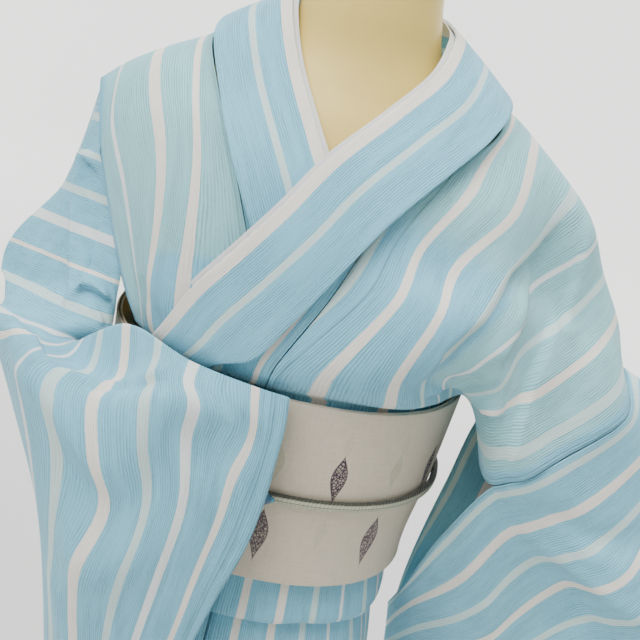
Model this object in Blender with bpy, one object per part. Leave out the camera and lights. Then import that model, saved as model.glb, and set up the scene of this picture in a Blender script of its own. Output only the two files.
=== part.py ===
"""Construction solids of a summer kimono worn on a limbless dress form.

Frame: metres, +Z up, the front of the garment faces -Y, +X is the wearer's
left. The origin is the centre of the underside of the form's base.
"""
import math
from collections import namedtuple

import bmesh
import bpy
import numpy as np

# Sizes that drive the build
CLOTH = 0.0015
COLLAR_THICK = 0.0028
LINING_THICK = 0.0012
OBI_THICK = 0.0020
OBI_GAP = 0.0006
DRUM_THICK = 0.0032
SEAM_GAP = 0.0005
OBI_TOP = 1.118
OBI_BOTTOM = 0.963
CORD_HEIGHT = 0.0085
CORD_DEPTH = 0.0055
CORD_LEVEL = 1.040
BASE_RADIUS = 0.155
BASE_HEIGHT = 0.018
POLE_RADIUS = 0.0125
RING_POWER = 2.2

# Waist and skirt, measured on the inside of the belt and below it
Waist = namedtuple("Waist", "z half_width front back")
WAIST = (
    Waist(0.05, 0.130, 0.118, 0.122),
    Waist(0.50, 0.137, 0.126, 0.132),
    Waist(0.80, 0.140, 0.127, 0.138),
    Waist(0.90, 0.136, 0.122, 0.127),
    Waist(0.965, 0.1235, 0.1085, 0.1100),
    Waist(1.04, 0.1300, 0.1160, 0.1130),
    Waist(1.125, 0.1360, 0.1235, 0.1160),
)

# Warp lines of the body panels. "across" is the cloth's own distance from the
# neck point towards the sleeve; the points run down from the shoulder fold.
Front = namedtuple("Front", "across shoulder yoke chest bust waist brim")
LEFT_STATIONS = (0.0, 0.07, 0.14, 0.20, 0.26, 0.30)
LEFT_FRONT = (
    Front(-0.010, (.109, -.032, 1.324), (.079, -.082, 1.291), (.040, -.116, 1.245),
          (.020, -.134, 1.196), (-.003, -.139, 1.145), (-.006, -.132, 1.1285)),
    Front(0.037, (.139, -.017, 1.312), (.130, -.077, 1.274), (.092, -.110, 1.235),
          (.087, -.138, 1.207), (.076, -.139, 1.155), (.079, -.117, 1.1285)),
    Front(0.085, (.191, -.017, 1.272), (.153, -.058, 1.230), (.143, -.106, 1.210),
          (.118, -.130, 1.180), (.103, -.113, 1.152), (.111, -.091, 1.1280)),
    Front(0.125, (.215, -.011, 1.232), (.186, -.053, 1.200), (.160, -.090, 1.184),
          (.147, -.116, 1.163), (.120, -.091, 1.149), (.123, -.072, 1.1280)),
    Front(0.165, (.241, -.010, 1.192), (.223, -.060, 1.176), (.181, -.093, 1.143),
          (.156, -.110, 1.131), (.144, -.075, 1.124), (.137, -.048, 1.1275)),
    Front(0.202, (.254, -.011, 1.160), (.255, -.060, 1.145), (.215, -.092, 1.116),
          (.180, -.110, 1.094), (.160, -.078, 1.084), (.1470, -.025, 1.1230)),
)
LEFT_BELT_ANGLE = (-2.5, 35.0, 56.0, 68.0, 80.0, 90.0)
RIGHT_STATIONS = (0.0, 0.04, 0.09, 0.14, 0.20, 0.225)
RIGHT_FRONT = (
    Front(-0.010, (-.107, -.029, 1.331), (-.088, -.070, 1.301), (-.061, -.101, 1.255),
          (-.040, -.1115, 1.210), (-.016, -.1145, 1.152), (-.012, -.1145, 1.1285)),
    Front(0.012, (-.114, -.018, 1.327), (-.102, -.066, 1.296), (-.090, -.090, 1.256),
          (-.082, -.105, 1.209), (-.074, -.109, 1.150), (-.070, -.106, 1.1285)),
    Front(0.041, (-.141, -.012, 1.313), (-.127, -.060, 1.286), (-.114, -.086, 1.245),
          (-.106, -.097, 1.200), (-.100, -.098, 1.145), (-.095, -.094, 1.1280)),
    Front(0.075, (-.167, -.010, 1.296), (-.164, -.036, 1.260), (-.145, -.062, 1.218),
          (-.127, -.080, 1.180), (-.108, -.092, 1.140), (-.104, -.088, 1.1275)),
    Front(0.105, (-.184, -.014, 1.279), (-.170, -.040, 1.240), (-.150, -.056, 1.194),
          (-.131, -.072, 1.158), (-.113, -.085, 1.133), (-.112, -.078, 1.1270)),
)
RIGHT_BELT_ANGLE = (-4.0, -31.5, -47.0, -53.0, -58.0)
LEFT_COLUMNS = (-.010, .002, .014, .0255, .037, .061, .085, .125, .165, .202)
RIGHT_COLUMNS = (-.010, -.0027, .0047, .012, .0265, .041, .058, .075, .090, .105)
BELT_RING_Z = 1.119
BRIM_MARGIN = 0.016
BELT_RUN = 0.03

Back = namedtuple("Back", "across ridge yoke blade mid_back brim")
BACK_STATIONS = (0.03, 0.08, 0.15, 0.23, 0.28)
LEFT_BACK = (
    Back(-0.090, (.004, .050, 1.367), (.0012, .090, 1.335), (.0012, .116, 1.270),
         (.0012, .121, 1.190), (.0012, .119, 1.1300)),
    Back(-0.010, (.106, -.002, 1.334), (.098, .045, 1.316), (.088, .090, 1.262),
         (.082, .105, 1.188), (.079, .103, 1.1300)),
    Back(0.037, (.138, .012, 1.314), (.130, .055, 1.292), (.118, .090, 1.240),
         (.105, .100, 1.180), (.100, .092, 1.1295)),
    Back(0.085, (.193, .012, 1.268), (.178, .050, 1.245), (.155, .078, 1.205),
         (.132, .082, 1.160), (.121, .074, 1.1290)),
    Back(0.125, (.219, .016, 1.228), (.205, .050, 1.208), (.178, .070, 1.178),
         (.148, .070, 1.145), (.134, .056, 1.1280)),
    Back(0.165, (.245, .018, 1.190), (.230, .050, 1.172), (.200, .064, 1.148),
         (.162, .060, 1.128), (.144, .036, 1.1260)),
    Back(0.202, (.256, .020, 1.158), (.246, .052, 1.140), (.218, .060, 1.112),
         (.170, .042, 1.084), (.1480, .014, 1.1235)),
)
LEFT_BACK_ANGLE = (179.5, 138.0, 125.0, 114.0, 106.0, 98.0, 92.5)
RIGHT_BACK = (
    Back(-0.090, (-.004, .050, 1.367), (-.0012, .090, 1.335), (-.0012, .116, 1.270),
         (-.0012, .121, 1.190), (-.0012, .119, 1.1300)),
    Back(-0.010, (-.104, .000, 1.338), (-.097, .045, 1.318), (-.088, .090, 1.262),
         (-.082, .105, 1.188), (-.079, .103, 1.1300)),
    Back(0.012, (-.113, .012, 1.329), (-.108, .052, 1.308), (-.100, .092, 1.255),
         (-.096, .102, 1.185), (-.090, .097, 1.1295)),
    Back(0.041, (-.141, .014, 1.312), (-.134, .052, 1.290), (-.122, .084, 1.238),
         (-.113, .092, 1.175), (-.103, .086, 1.1290)),
    Back(0.075, (-.168, .016, 1.292), (-.160, .050, 1.268), (-.143, .074, 1.220),
         (-.130, .078, 1.165), (-.121, .068, 1.1280)),
    Back(0.105, (-.188, .014, 1.274), (-.183, .044, 1.250), (-.165, .062, 1.205),
         (-.143, .058, 1.150), (-.133, .040, 1.1270)),
)
RIGHT_BACK_ANGLE = (-179.5, -138.0, -130.0, -120.0, -108.0, -96.0)

# Neckline cut into the back: distance behind the shoulder fold against across
Neck = namedtuple("Neck", "behind across")
NECKLINE = (Neck(0.0, -0.010), Neck(0.03, -0.022), Neck(0.06, -0.050), Neck(0.08, -0.090))

# Folds under the belt and below it: height, and inset from the WAIST surface
Fold = namedtuple("Fold", "z left_inset right_inset")
TUCK = (
    Fold(1.119, 0.0062, 0.0165),
    Fold(1.095, 0.0060, 0.0165),
    Fold(1.063, 0.0058, 0.0150),
    Fold(1.030, 0.0055, 0.0130),
    Fold(0.970, 0.0055, 0.0100),
    Fold(0.953, 0.0055, 0.0090),
    Fold(0.936, 0.0055, 0.0090),
    Fold(0.9245, 0.0075, 0.0096),
    Fold(0.9225, 0.0105, 0.0108),
    Fold(0.9245, 0.0135, 0.0120),
    Fold(0.936, 0.0160, 0.0125),
    Fold(0.951, 0.0160, 0.0125),
    Fold(0.965, 0.0160, 0.0130),
    Fold(0.9735, 0.0164, 0.0138),
    Fold(0.9755, 0.0177, 0.0177),
    Fold(0.9735, 0.0190, 0.0220),
    Fold(0.965, 0.0195, 0.0230),
    Fold(0.935, 0.0195, 0.0230),
    Fold(0.908, 0.0175, 0.0210),
    Fold(0.870, 0.0130, 0.0165),
    Fold(0.820, 0.0080, 0.0115),
    Fold(0.700, 0.0040, 0.0075),
    Fold(0.450, 0.0020, 0.0055),
    Fold(0.220, 0.0010, 0.0045),
    Fold(0.050, 0.0010, 0.0045),
)
RAISED_FOLDS = (7, 8, 9, 13, 14, 15)
RIGHT_TUCK_RISE = 0.007

# Collar: fold edge (next to the neck) and sewn edge, from the nape down
Band = namedtuple("Band", "fold sewn")
COLLAR_NAPE = Band((0.0, .083, 1.378), (0.0, .0985, 1.336))
COLLAR_LEFT = (
    Band((.040, .066, 1.380), (.060, .080, 1.342)),
    Band((.059, .020, 1.376), (.100, .028, 1.343)),
    Band((.060, -.020, 1.368), (.112, -.026, 1.336)),
    Band((.052, -.053, 1.348), (.100, -.068, 1.317)),
    Band((.028, -.079, 1.320), (.078, -.097, 1.293)),
    Band((-.005, -.110, 1.283), (.045, -.124, 1.253)),
    Band((-.025, -.126, 1.251), (.025, -.137, 1.221)),
    Band((-.050, -.134, 1.214), (.002, -.143, 1.181)),
    Band((-.071, -.132, 1.182), (-.020, -.144, 1.147)),
    Band((-.086, -.122, 1.150), (-.040, -.1370, 1.136)),
    Band((-.094, -.112, 1.1320), (-.048, -.1290, 1.1285)),
)
COLLAR_RIGHT = (
    Band((-.040, .066, 1.380), (-.060, .080, 1.342)),
    Band((-.058, .022, 1.378), (-.098, .028, 1.3475)),
    Band((-.058, -.018, 1.370), (-.1065, -.026, 1.3385)),
    Band((-.042, -.052, 1.335), (-.088, -.072, 1.303)),
    Band((-.022, -.078, 1.305), (-.069, -.100, 1.271)),
    Band((-.004, -.097, 1.279), (-.050, -.1135, 1.240)),
    Band((.015, -.107, 1.246), (-.030, -.1200, 1.208)),
    Band((.036, -.111, 1.212), (-.008, -.1220, 1.172)),
    Band((.055, -.109, 1.175), (.010, -.1215, 1.145)),
    Band((.070, -.101, 1.133), (.024, -.1155, 1.1290)),
)
COLLAR_LEFT_END = (-43.0, -20.0)
COLLAR_RIGHT_END = (35.0, 11.0)
COLLAR_END_Z = (1.119, 1.104, 1.090)
COLLAR_LEFT_INSET = 0.0020
COLLAR_RIGHT_INSET = 0.0110

# Outer edge of each overlap panel under the collar, beside its seam edge
Edge = namedtuple("Edge", "station point")
OKUMI_LEFT_EDGE = (
    Edge(0.13, (.034, -.1165, 1.2500)),
    Edge(0.20, (.000, -.1330, 1.205)),
    Edge(0.26, (-.042, -.1325, 1.150)),
    Edge(0.30, (-.045, -.1240, 1.1285)),
)
OKUMI_RIGHT_EDGE = (
    Edge(0.09, (-.053, -.1040, 1.256)),
    Edge(0.14, (-.018, -.1115, 1.205)),
    Edge(0.20, (.030, -.1105, 1.150)),
    Edge(0.225, (.038, -.1070, 1.1285)),
)
OKUMI_BELT_ANGLE = (-20.0, 16.0)
OKUMI_HEM_ANGLE = 56.0
SIDE_SEAM_ANGLE = 93.0

# Warp lines of the sleeves, front layer: "across" runs from the body to the cuff
SleeveLeft = namedtuple("SleeveLeft", "across top upper mid joint lower low hem")
LEFT_SLEEVE_STATIONS = (0.0, 0.08, 0.155, 0.23, 0.31, 0.40, 0.49)
LEFT_SLEEVE = (
    SleeveLeft(0.000, (.255, -.011, 1.160), (.255, -.066, 1.142), (.207, -.098, 1.110),
               (.169, -.101, 1.082), (.151, -.064, 1.016), (.142, -.020, .940),
               (.142, .050, .872)),
    SleeveLeft(0.050, (.314, -.010, 1.150), (.283, -.056, 1.101), (.242, -.093, 1.063),
               (.203, -.090, 1.036), (.181, -.072, .975), (.155, -.012, .905),
               (.148, .052, .838)),
    SleeveLeft(0.110, (.359, -.005, 1.106), (.322, -.050, 1.054), (.293, -.096, 1.018),
               (.253, -.078, .989), (.209, -.072, .922), (.180, -.022, .862),
               (.152, .040, .800)),
    SleeveLeft(0.180, (.406, .002, 1.048), (.367, -.039, 1.003), (.343, -.084, .956),
               (.288, -.082, .917), (.233, -.064, .858), (.190, -.026, .806),
               (.158, .015, .748)),
    SleeveLeft(0.260, (.442, .011, .976), (.385, -.016, .930), (.338, -.050, .885),
               (.284, -.064, .838), (.232, -.052, .782), (.195, -.028, .728),
               (.166, .000, .678)),
    SleeveLeft(0.330, (.472, .016, .913), (.415, -.008, .868), (.360, -.029, .822),
               (.308, -.043, .774), (.255, -.040, .718), (.208, -.026, .664),
               (.176, -.006, .618)),
)
# How far behind the front layer the back layer hangs
Gap = namedtuple("Gap", "across top upper mid joint lower low hem")
LEFT_SLEEVE_GAP = (
    Gap(0.000, 0.0, .112, .152, .137, .084, .044, .000),
    Gap(0.050, 0.0, .075, .106, .094, .064, .030, .000),
    Gap(0.110, 0.0, .040, .064, .060, .044, .020, .000),
    Gap(0.180, 0.0, .021, .036, .036, .030, .014, .000),
    Gap(0.260, 0.0, .011, .020, .020, .016, .008, .000),
    Gap(0.330, 0.0, .007, .014, .012, .000, .000, .000),
)

# Right sleeve, drawn forward across the belt: each row is a section of the
# bent tube, from the armpit and top edge round to the outer and lower edge
SleeveRight = namedtuple("SleeveRight", "across inner u2 u4 u7 u11 u16 u29 outer")
RIGHT_SLEEVE_STATIONS = (0.0, 0.02, 0.045, 0.075, 0.11, 0.16, 0.29, 0.49)
RIGHT_SLEEVE = (
    SleeveRight(0.000, (-.135, -.070, 1.165), (-.137, -.068, 1.170), (-.140, -.064, 1.177),
                (-.146, -.060, 1.187), (-.154, -.052, 1.202), (-.166, -.042, 1.228),
                (-.176, -.032, 1.256), (-.184, -.018, 1.278)),
    SleeveRight(0.070, (-.130, -.074, 1.128), (-.134, -.074, 1.137), (-.143, -.069, 1.148),
                (-.155, -.058, 1.168), (-.157, -.051, 1.185), (-.168, -.041, 1.2005),
                (-.186, -.030, 1.2035), (-.195, -.019, 1.202)),
    SleeveRight(0.140, (-.131, -.088, 1.116), (-.136, -.088, 1.122), (-.144, -.084, 1.128),
                (-.157, -.077, 1.131), (-.163, -.071, 1.136), (-.172, -.063, 1.138),
                (-.202, -.047, 1.134), (-.228, -.038, 1.131)),
    SleeveRight(0.200, (-.150, -.096, 1.108), (-.160, -.107, 1.112), (-.173, -.114, 1.113),
                (-.187, -.114, 1.109), (-.199, -.104, 1.099), (-.205, -.089, 1.085),
                (-.200, -.068, 1.062), (-.191, -.054, 1.043)),
    SleeveRight(0.222, (-.145, -.104, 1.112), (-.152, -.118, 1.107), (-.166, -.134, 1.108),
                (-.176, -.139, 1.097), (-.172, -.134, 1.072), (-.165, -.124, 1.030),
                (-.148, -.090, .950), (-.136, -.062, .865)),
    SleeveRight(0.245, (-.135, -.110, 1.122), (-.137, -.122, 1.102), (-.154, -.140, 1.105),
                (-.159, -.151, 1.093), (-.151, -.146, 1.059), (-.144, -.136, 1.000),
                (-.130, -.114, .878), (-.114, -.094, .730)),
    SleeveRight(0.280, (-.113, -.116, 1.138), (-.107, -.132, 1.106), (-.120, -.149, 1.094),
                (-.112, -.163, 1.058), (-.101, -.163, 1.024), (-.110, -.156, .972),
                (-.102, -.138, .850), (-.094, -.124, .660)),
    SleeveRight(0.340, (-.056, -.143, 1.134), (-.057, -.152, 1.124), (-.051, -.160, 1.113),
                (-.054, -.158, 1.086), (-.048, -.158, 1.042), (-.053, -.158, .975),
                (-.060, -.152, .848), (-.058, -.142, .644)),
    SleeveRight(0.400, (.011, -.142, 1.126), (.013, -.146, 1.110), (.013, -.149, 1.084),
                (.012, -.151, 1.050), (.008, -.153, 1.015), (-.005, -.152, .962),
                (-.030, -.150, .832), (-.042, -.146, .634)),
)
# Back layer of the same sleeve where it hangs well clear of the front layer
RIGHT_SLEEVE_BACK = (
    SleeveRight(0.000, (-.168, .056, 1.218), (-.170, .055, 1.222), (-.172, .054, 1.227),
                (-.176, .050, 1.234), (-.179, .047, 1.242), (-.183, .039, 1.254),
                (-.187, .018, 1.270), (-.183, -.010, 1.276)),
    SleeveRight(0.070, (-.158, .030, 1.138), (-.168, .040, 1.145), (-.176, .046, 1.152),
                (-.184, .050, 1.165), (-.190, .050, 1.176), (-.196, .042, 1.186),
                (-.200, .018, 1.196), (-.198, -.010, 1.199)),
    SleeveRight(0.140, (-.150, -.062, 1.098), (-.156, -.050, 1.098), (-.164, -.038, 1.100),
                (-.174, -.026, 1.104), (-.184, -.018, 1.108), (-.194, -.012, 1.113),
                (-.213, -.012, 1.119), (-.227, -.021, 1.125)),
    SleeveRight(0.200, (-.152, -.087, 1.100), (-.158, -.084, 1.094), (-.164, -.078, 1.086),
                (-.170, -.070, 1.077), (-.176, -.061, 1.067), (-.182, -.052, 1.057),
                (-.188, -.044, 1.042), (-.191, -.042, 1.034)),
)
LEFT_SLEEVE_SEWN = 0.23
RIGHT_SLEEVE_SEWN = 0.126
LEFT_LOFT = 0.0055
RIGHT_LOFT = 0.0090
FOLD_ROUND = 0.006

# The plain dress form: rings from the hidden lower end to the top of the neck
Ring = namedtuple("Ring", "z centre_x half_width front back")
FORM = (
    Ring(0.860, .0017, 0.093, 0.074, 0.076),
    Ring(0.880, .0017, 0.101, 0.080, 0.082),
    Ring(0.930, .0017, 0.1023, 0.080, 0.082),
    Ring(1.000, .0017, 0.1003, 0.079, 0.080),
    Ring(1.100, 0.000, 0.108, 0.090, 0.084),
    Ring(1.180, 0.000, 0.128, 0.096, 0.088),
    Ring(1.240, 0.000, 0.147, 0.088, 0.082),
    Ring(1.275, 0.000, 0.143, 0.079, 0.072),
    Ring(1.300, 0.000, 0.118, 0.068, 0.062),
    Ring(1.325, 0.000, 0.084, 0.055, 0.054),
    Ring(1.345, 0.000, 0.062, 0.048, 0.050),
    Ring(1.380, -0.002, 0.051, 0.046, 0.048),
    Ring(1.420, -0.004, 0.048, 0.045, 0.047),
    Ring(1.462, -0.006, 0.050, 0.047, 0.049),
    Ring(1.470, -0.006, 0.046, 0.043, 0.045),
)

# Back of the belt: the drum's section and the cord's way round
DRUM_SECTION = (
    (.1178, .970), (.1234, 1.080), (.1272, 1.185), (.1370, 1.206), (.1620, 1.212),
    (.1900, 1.200), (.2040, 1.160), (.2090, 1.080), (.2050, 1.000), (.1930, .958),
    (.1650, .946), (.1350, .950),
)
DRUM_HALF = 0.108
TAIL_HALF = 0.113
TAIL_Y = 0.1269
TAIL_Z = (0.985, 1.100)
CORD_BACK = ((.1400, .045), (.1320, .100), (.1210, .136), (.1020, .1495), (.0500, .1510))
CLASP_CENTRE_X = -0.001
CLASP_HALF_LENGTH = 0.020
CLASP_HALF_HEIGHT = 0.0095


def weights(knots, values):
    """Rows of blend weights of a smooth curve through the knots."""
    knots = np.asarray(knots, float)
    values = np.atleast_1d(np.asarray(values, float))
    count = len(knots)
    unit = np.eye(count)
    gaps = np.diff(knots)
    chords = np.diff(unit, axis=0) / gaps[:, None]
    slopes = np.zeros((count, count))
    slopes[0] = chords[0]
    slopes[-1] = chords[-1]
    for i in range(1, count - 1):
        share = gaps[i - 1] / (gaps[i - 1] + gaps[i])
        slopes[i] = (1 - share) * chords[i - 1] + share * chords[i]
    if count > 2:
        slopes[0] = 1.5 * chords[0] - 0.5 * slopes[1]
        slopes[-1] = 1.5 * chords[-1] - 0.5 * slopes[-2]
    cell = np.clip(np.searchsorted(knots, values) - 1, 0, count - 2)
    h = gaps[cell][:, None]
    t = ((values - knots[cell]) / gaps[cell])[:, None]
    return ((2 * t**3 - 3 * t**2 + 1) * unit[cell]
            + (t**3 - 2 * t**2 + t) * h * slopes[cell]
            + (3 * t**2 - 2 * t**3) * unit[cell + 1]
            + (t**3 - t**2) * h * slopes[cell + 1])


def curve(knots, points, values):
    """Points of a smooth curve at the asked values."""
    return weights(knots, values) @ np.asarray(points, float)


def smooth(value, low, high):
    """Soft step from 0 at low to 1 at high."""
    t = np.clip((np.asarray(value, float) - low) / (high - low), 0.0, 1.0)
    return t * t * (3 - 2 * t)


def waist_sizes(z):
    """Half width, front and back of the WAIST surface at heights z."""
    heights = [row.z for row in WAIST]
    rows = [(row.half_width, row.front, row.back) for row in WAIST]
    return curve(heights, rows, z)


def ring_point(z, angle, inset):
    """Points on the WAIST surface, moved in by inset. Angle 0 is the front centre."""
    z, angle, inset = np.broadcast_arrays(np.atleast_1d(z), angle, inset)
    sizes = waist_sizes(z.ravel())
    a = np.radians(angle.ravel())
    side, ahead = np.sin(a), np.cos(a)
    inset = inset.ravel()
    depth = np.where(ahead >= 0, sizes[:, 1], sizes[:, 2]) - inset
    power = 2.0 / RING_POWER
    x = (sizes[:, 0] - inset) * np.sign(side) * np.abs(side) ** power
    y = -depth * np.sign(ahead) * np.abs(ahead) ** power
    return np.stack([x, y, z.ravel()], 1).reshape(z.shape + (3,))


class Side:
    """One half of the bodice: its sizes picked from the tables."""

    def __init__(self, left):
        self.left = left
        self.front = LEFT_FRONT if left else RIGHT_FRONT
        self.back = LEFT_BACK if left else RIGHT_BACK
        self.stations = LEFT_STATIONS if left else RIGHT_STATIONS
        self.front_angle = LEFT_BELT_ANGLE if left else RIGHT_BELT_ANGLE
        self.back_angle = LEFT_BACK_ANGLE if left else RIGHT_BACK_ANGLE
        self.inset = TUCK[0].left_inset if left else TUCK[0].right_inset
        self.front_end = self.stations[-1] + BELT_RUN
        self.back_end = 0.31
        self.outer = self.front[-1].across
        self.across = [row.across for row in self.back]
        self.knots = self.make_knots()
        self.net = self.make_net()

    def make_knots(self):
        """Distances from the shoulder fold, negative down the back."""
        behind = [-self.back_end] + [-s for s in reversed(BACK_STATIONS)]
        return behind + list(self.stations) + [self.front_end]

    def make_net(self):
        """Points by warp line and station, back and front together."""
        net = []
        for i, back in enumerate(self.back):
            belt_back = ring_point(BELT_RING_Z, self.back_angle[i], self.inset)[0]
            behind = [belt_back] + [np.array(p) for p in reversed(back[1:])]
            if i == 0:
                near, far = self.front[0], self.front[1]
                ahead = [2 * np.array(a) - np.array(b) for a, b in zip(near[1:], far[1:])]
                belt = ring_point(BELT_RING_Z, 2 * self.front_angle[0] - self.front_angle[1],
                                  self.inset)[0]
            else:
                ahead = [np.array(p) for p in self.front[i - 1][1:]]
                belt = ring_point(BELT_RING_Z, self.front_angle[i - 1], self.inset)[0]
            net.append(behind + ahead + [belt])
        return np.array(net)

    def point(self, across, station):
        """Points of the bodice at cloth positions."""
        rows = weights(self.across, across)
        cols = weights(self.knots, station)
        return np.einsum("ki,kj,ijc->kc", rows, cols, self.net)

    def edge(self, station, tuck):
        """Outer edge of the bodice, moved inside it by tuck."""
        outer = np.full(len(station), self.outer)
        edge = self.point(outer, station)
        along = self.point(outer, station + 0.004) - self.point(outer, station - 0.004)
        normal = np.cross(along, edge - self.point(outer - 0.006, station))
        normal /= np.linalg.norm(normal, axis=1)[:, None]
        home = np.array([0.0, 0.0, 1.12]) - edge
        normal *= np.sign(np.sum(normal * home, axis=1))[:, None]
        return edge + normal * tuck

    def inner(self, station):
        """Where the panel's inner edge runs: centre back, neckline, then the front."""
        station = np.asarray(station, float)
        neck = np.interp(-station, [n.behind for n in NECKLINE], [n.across for n in NECKLINE])
        return np.where(station >= 0, NECKLINE[0].across, neck)


def tuck_rows(left):
    """Height and inset of each fold below the belt's top, for one side."""
    rows = []
    for i, fold in enumerate(TUCK):
        if left:
            rows.append((fold.z, fold.left_inset))
        else:
            rise = RIGHT_TUCK_RISE if i in RAISED_FOLDS else 0.0
            rows.append((fold.z + rise, fold.right_inset))
    return rows


def lower_rows(belt_angles, low_angles, left):
    """Grid rows under the belt, over the tuck and down to the hem."""
    rows = []
    for z, inset in tuck_rows(left):
        share = float(smooth(BELT_RING_Z - z, 0.0, 0.12))
        angles = (1 - share) * belt_angles + share * low_angles
        rows.append(ring_point(np.full(len(angles), z), angles, inset))
    return rows


def body_grid(side, back_samples, front_samples):
    """Whole body panel from the back hem over the shoulder to the front hem."""
    picks = LEFT_COLUMNS if side.left else RIGHT_COLUMNS
    columns = len(picks)
    share = (np.array(picks) - picks[0]) / (picks[-1] - picks[0])
    even = np.linspace(0.0, 1.0, columns)
    stations = np.concatenate([np.linspace(BRIM_MARGIN - side.back_end, -0.08, back_samples),
                               [-0.055, -0.03, -0.012],
                               np.linspace(0.0, side.front_end - BRIM_MARGIN, front_samples)])
    grid = []
    for station in stations:
        inner = float(side.inner(station))
        across = inner + share * (side.outer - inner)
        grid.append(side.point(across, np.full(columns, station)))
    sign = 1.0 if side.left else -1.0
    back_inner = np.interp(-0.090 + share * (side.outer + 0.090), side.across, side.back_angle)
    back_low = sign * (179.6 + even * (SIDE_SEAM_ANGLE + 0.5 - 179.6))
    front_across = -0.010 + share * (side.outer + 0.010)
    front_belt = np.interp(front_across, side.across[1:], side.front_angle)
    seam = side.front_angle[0]
    front_low = seam + even * (sign * (SIDE_SEAM_ANGLE - 0.5) - seam)
    behind = lower_rows(back_inner, back_low, side.left)
    ahead = lower_rows(front_belt, front_low, side.left)
    return np.array(behind[::-1] + grid + ahead)


def okumi_grid(side, samples, columns):
    """Overlap panel beside the body panel's front edge, apex at the collar."""
    table = OKUMI_LEFT_EDGE if side.left else OKUMI_RIGHT_EDGE
    sign = 1.0 if side.left else -1.0
    start = table[0].station
    share = np.linspace(0.0, 1.0, columns)
    stations = np.linspace(start, side.front_end - BRIM_MARGIN, samples)
    seam = side.front_angle[0]
    end_angle = OKUMI_BELT_ANGLE[0] if side.left else OKUMI_BELT_ANGLE[1]
    end = ring_point(BELT_RING_Z, end_angle, side.inset)[0]
    knots = [row.station for row in table] + [side.front_end]
    outer = curve(knots, [row.point for row in table] + [end], stations)
    near = side.point(np.full(samples, NECKLINE[0].across), stations)
    step = outer - near
    length = np.linalg.norm(step, axis=1)[:, None]
    near = near + step / length * SEAM_GAP * 1.8
    grid = [near[i] + share[:, None] * (outer[i] - near[i]) for i in range(samples)]
    gap_angle = sign * 0.45
    belt = (seam - gap_angle) + share * (end_angle - seam + gap_angle)
    low = (seam - gap_angle) - share * sign * OKUMI_HEM_ANGLE
    return np.array(grid + lower_rows(belt, low, side.left))


class Sleeve:
    """One sleeve: two layers of cloth, front and back, joined round its edges."""

    def __init__(self, left, body):
        self.left = left
        self.body = body
        table = LEFT_SLEEVE if left else RIGHT_SLEEVE
        self.stations = LEFT_SLEEVE_STATIONS if left else RIGHT_SLEEVE_STATIONS
        self.across = [row.across for row in table]
        self.front_net = np.array([row[1:] for row in table], float)
        self.sewn = LEFT_SLEEVE_SEWN if left else RIGHT_SLEEVE_SEWN
        self.tuck = 0.0 if left else 0.0024
        self.width = self.across[-1]
        self.length = self.stations[-1]
        self.back_net = self.make_back()

    def make_back(self):
        """Points of the back layer: the front layer moved in, then the hand-set rows."""
        rows = []
        stations = np.array(self.stations)
        for i, across in enumerate(self.across):
            inward = self.inward(np.full(len(stations), across), stations)
            rows.append(self.front_net[i] + inward * (LEFT_LOFT if self.left else RIGHT_LOFT))
            if self.left:
                rows[i][:, 1] += LEFT_SLEEVE_GAP[i][1:]
        if not self.left:
            for i, row in enumerate(RIGHT_SLEEVE_BACK):
                rows[i] = np.array(row[1:], float)
        return np.array(rows)

    def sheet(self, across, down):
        """Points of the front layer as the table gives them."""
        rows = weights(self.across, np.clip(across, 0.0, self.width))
        cols = weights(self.stations, np.clip(down, 0.0, self.length))
        return np.einsum("ki,kj,ijc->kc", rows, cols, self.front_net)

    def inward(self, across, down, reach=0.02):
        """Unit direction from the front layer to the inside of the sleeve."""
        along = self.sheet(across + reach, down) - self.sheet(across - reach, down)
        fall = self.sheet(across, down + reach) - self.sheet(across, down - reach)
        normal = np.cross(along, fall)
        length = np.linalg.norm(normal, axis=1)[:, None]
        return normal / np.maximum(length, 1e-9)

    def raw(self, across, down, layer):
        """Points of a layer before it is drawn to the body's edge; layer 1 is the back."""
        front = self.sheet(across, down)
        if not layer:
            return front
        rows = weights(self.across, across)
        cols = weights(self.stations, down)
        back = np.einsum("ki,kj,ijc->kc", rows, cols, self.back_net)
        if self.left:
            share = np.sqrt(np.clip(down / FOLD_ROUND, 0.0, 1.0))
        else:
            lower = np.clip((self.length - down) / 0.03, 0.0, 1.0)
            ends = 0.55 + 0.45 * smooth(np.minimum(down / 0.02, lower), 0.0, 1.0)
            share = 1.0 + (ends - 1.0) * smooth(across, 0.20, 0.25)
        return front + share[:, None] * (back - front)

    def held(self, down):
        """How far from the shoulder fold a point of the sewn edge lies."""
        if self.left:
            return np.minimum(down, self.sewn)
        return 0.004 + self.sewn * (1.0 - down / self.length)

    def point(self, across, down, layer):
        """Points of a layer, its sewn edge running along the body panel's edge."""
        across = np.asarray(across, float)
        down = np.asarray(down, float)
        point = self.raw(across, down, layer)
        held = self.held(down)
        edge = self.body.edge((-1.0 if layer else 1.0) * held, self.tuck)
        start = self.raw(np.zeros(len(down)), down if not self.left else held, layer)
        near = 1.0 - smooth(across, 0.0, 0.05)
        if self.left:
            near = near * (1.0 - smooth(down, self.sewn, self.sewn + 0.06))
        return point + near[:, None] * (edge - start)

    def clear(self, across, down):
        """Across values, kept off the body panel's edge, more so at the shoulder."""
        start = SEAM_GAP + 0.0007 + 0.0010 * (1.0 - smooth(self.held(down), 0.0, 0.05))
        return start + across * (self.width - start) / self.width

    def ring(self, across, downs):
        """Closed ring: up the front layer, over the fold, down the back layer."""
        up = np.asarray(downs, float)
        down = up[::-1][1:] if self.left else up[::-1]
        front = self.point(self.clear(across, up), up, 0)
        back = self.point(self.clear(across, down), down, 1)
        return np.vstack([front, back])


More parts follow.
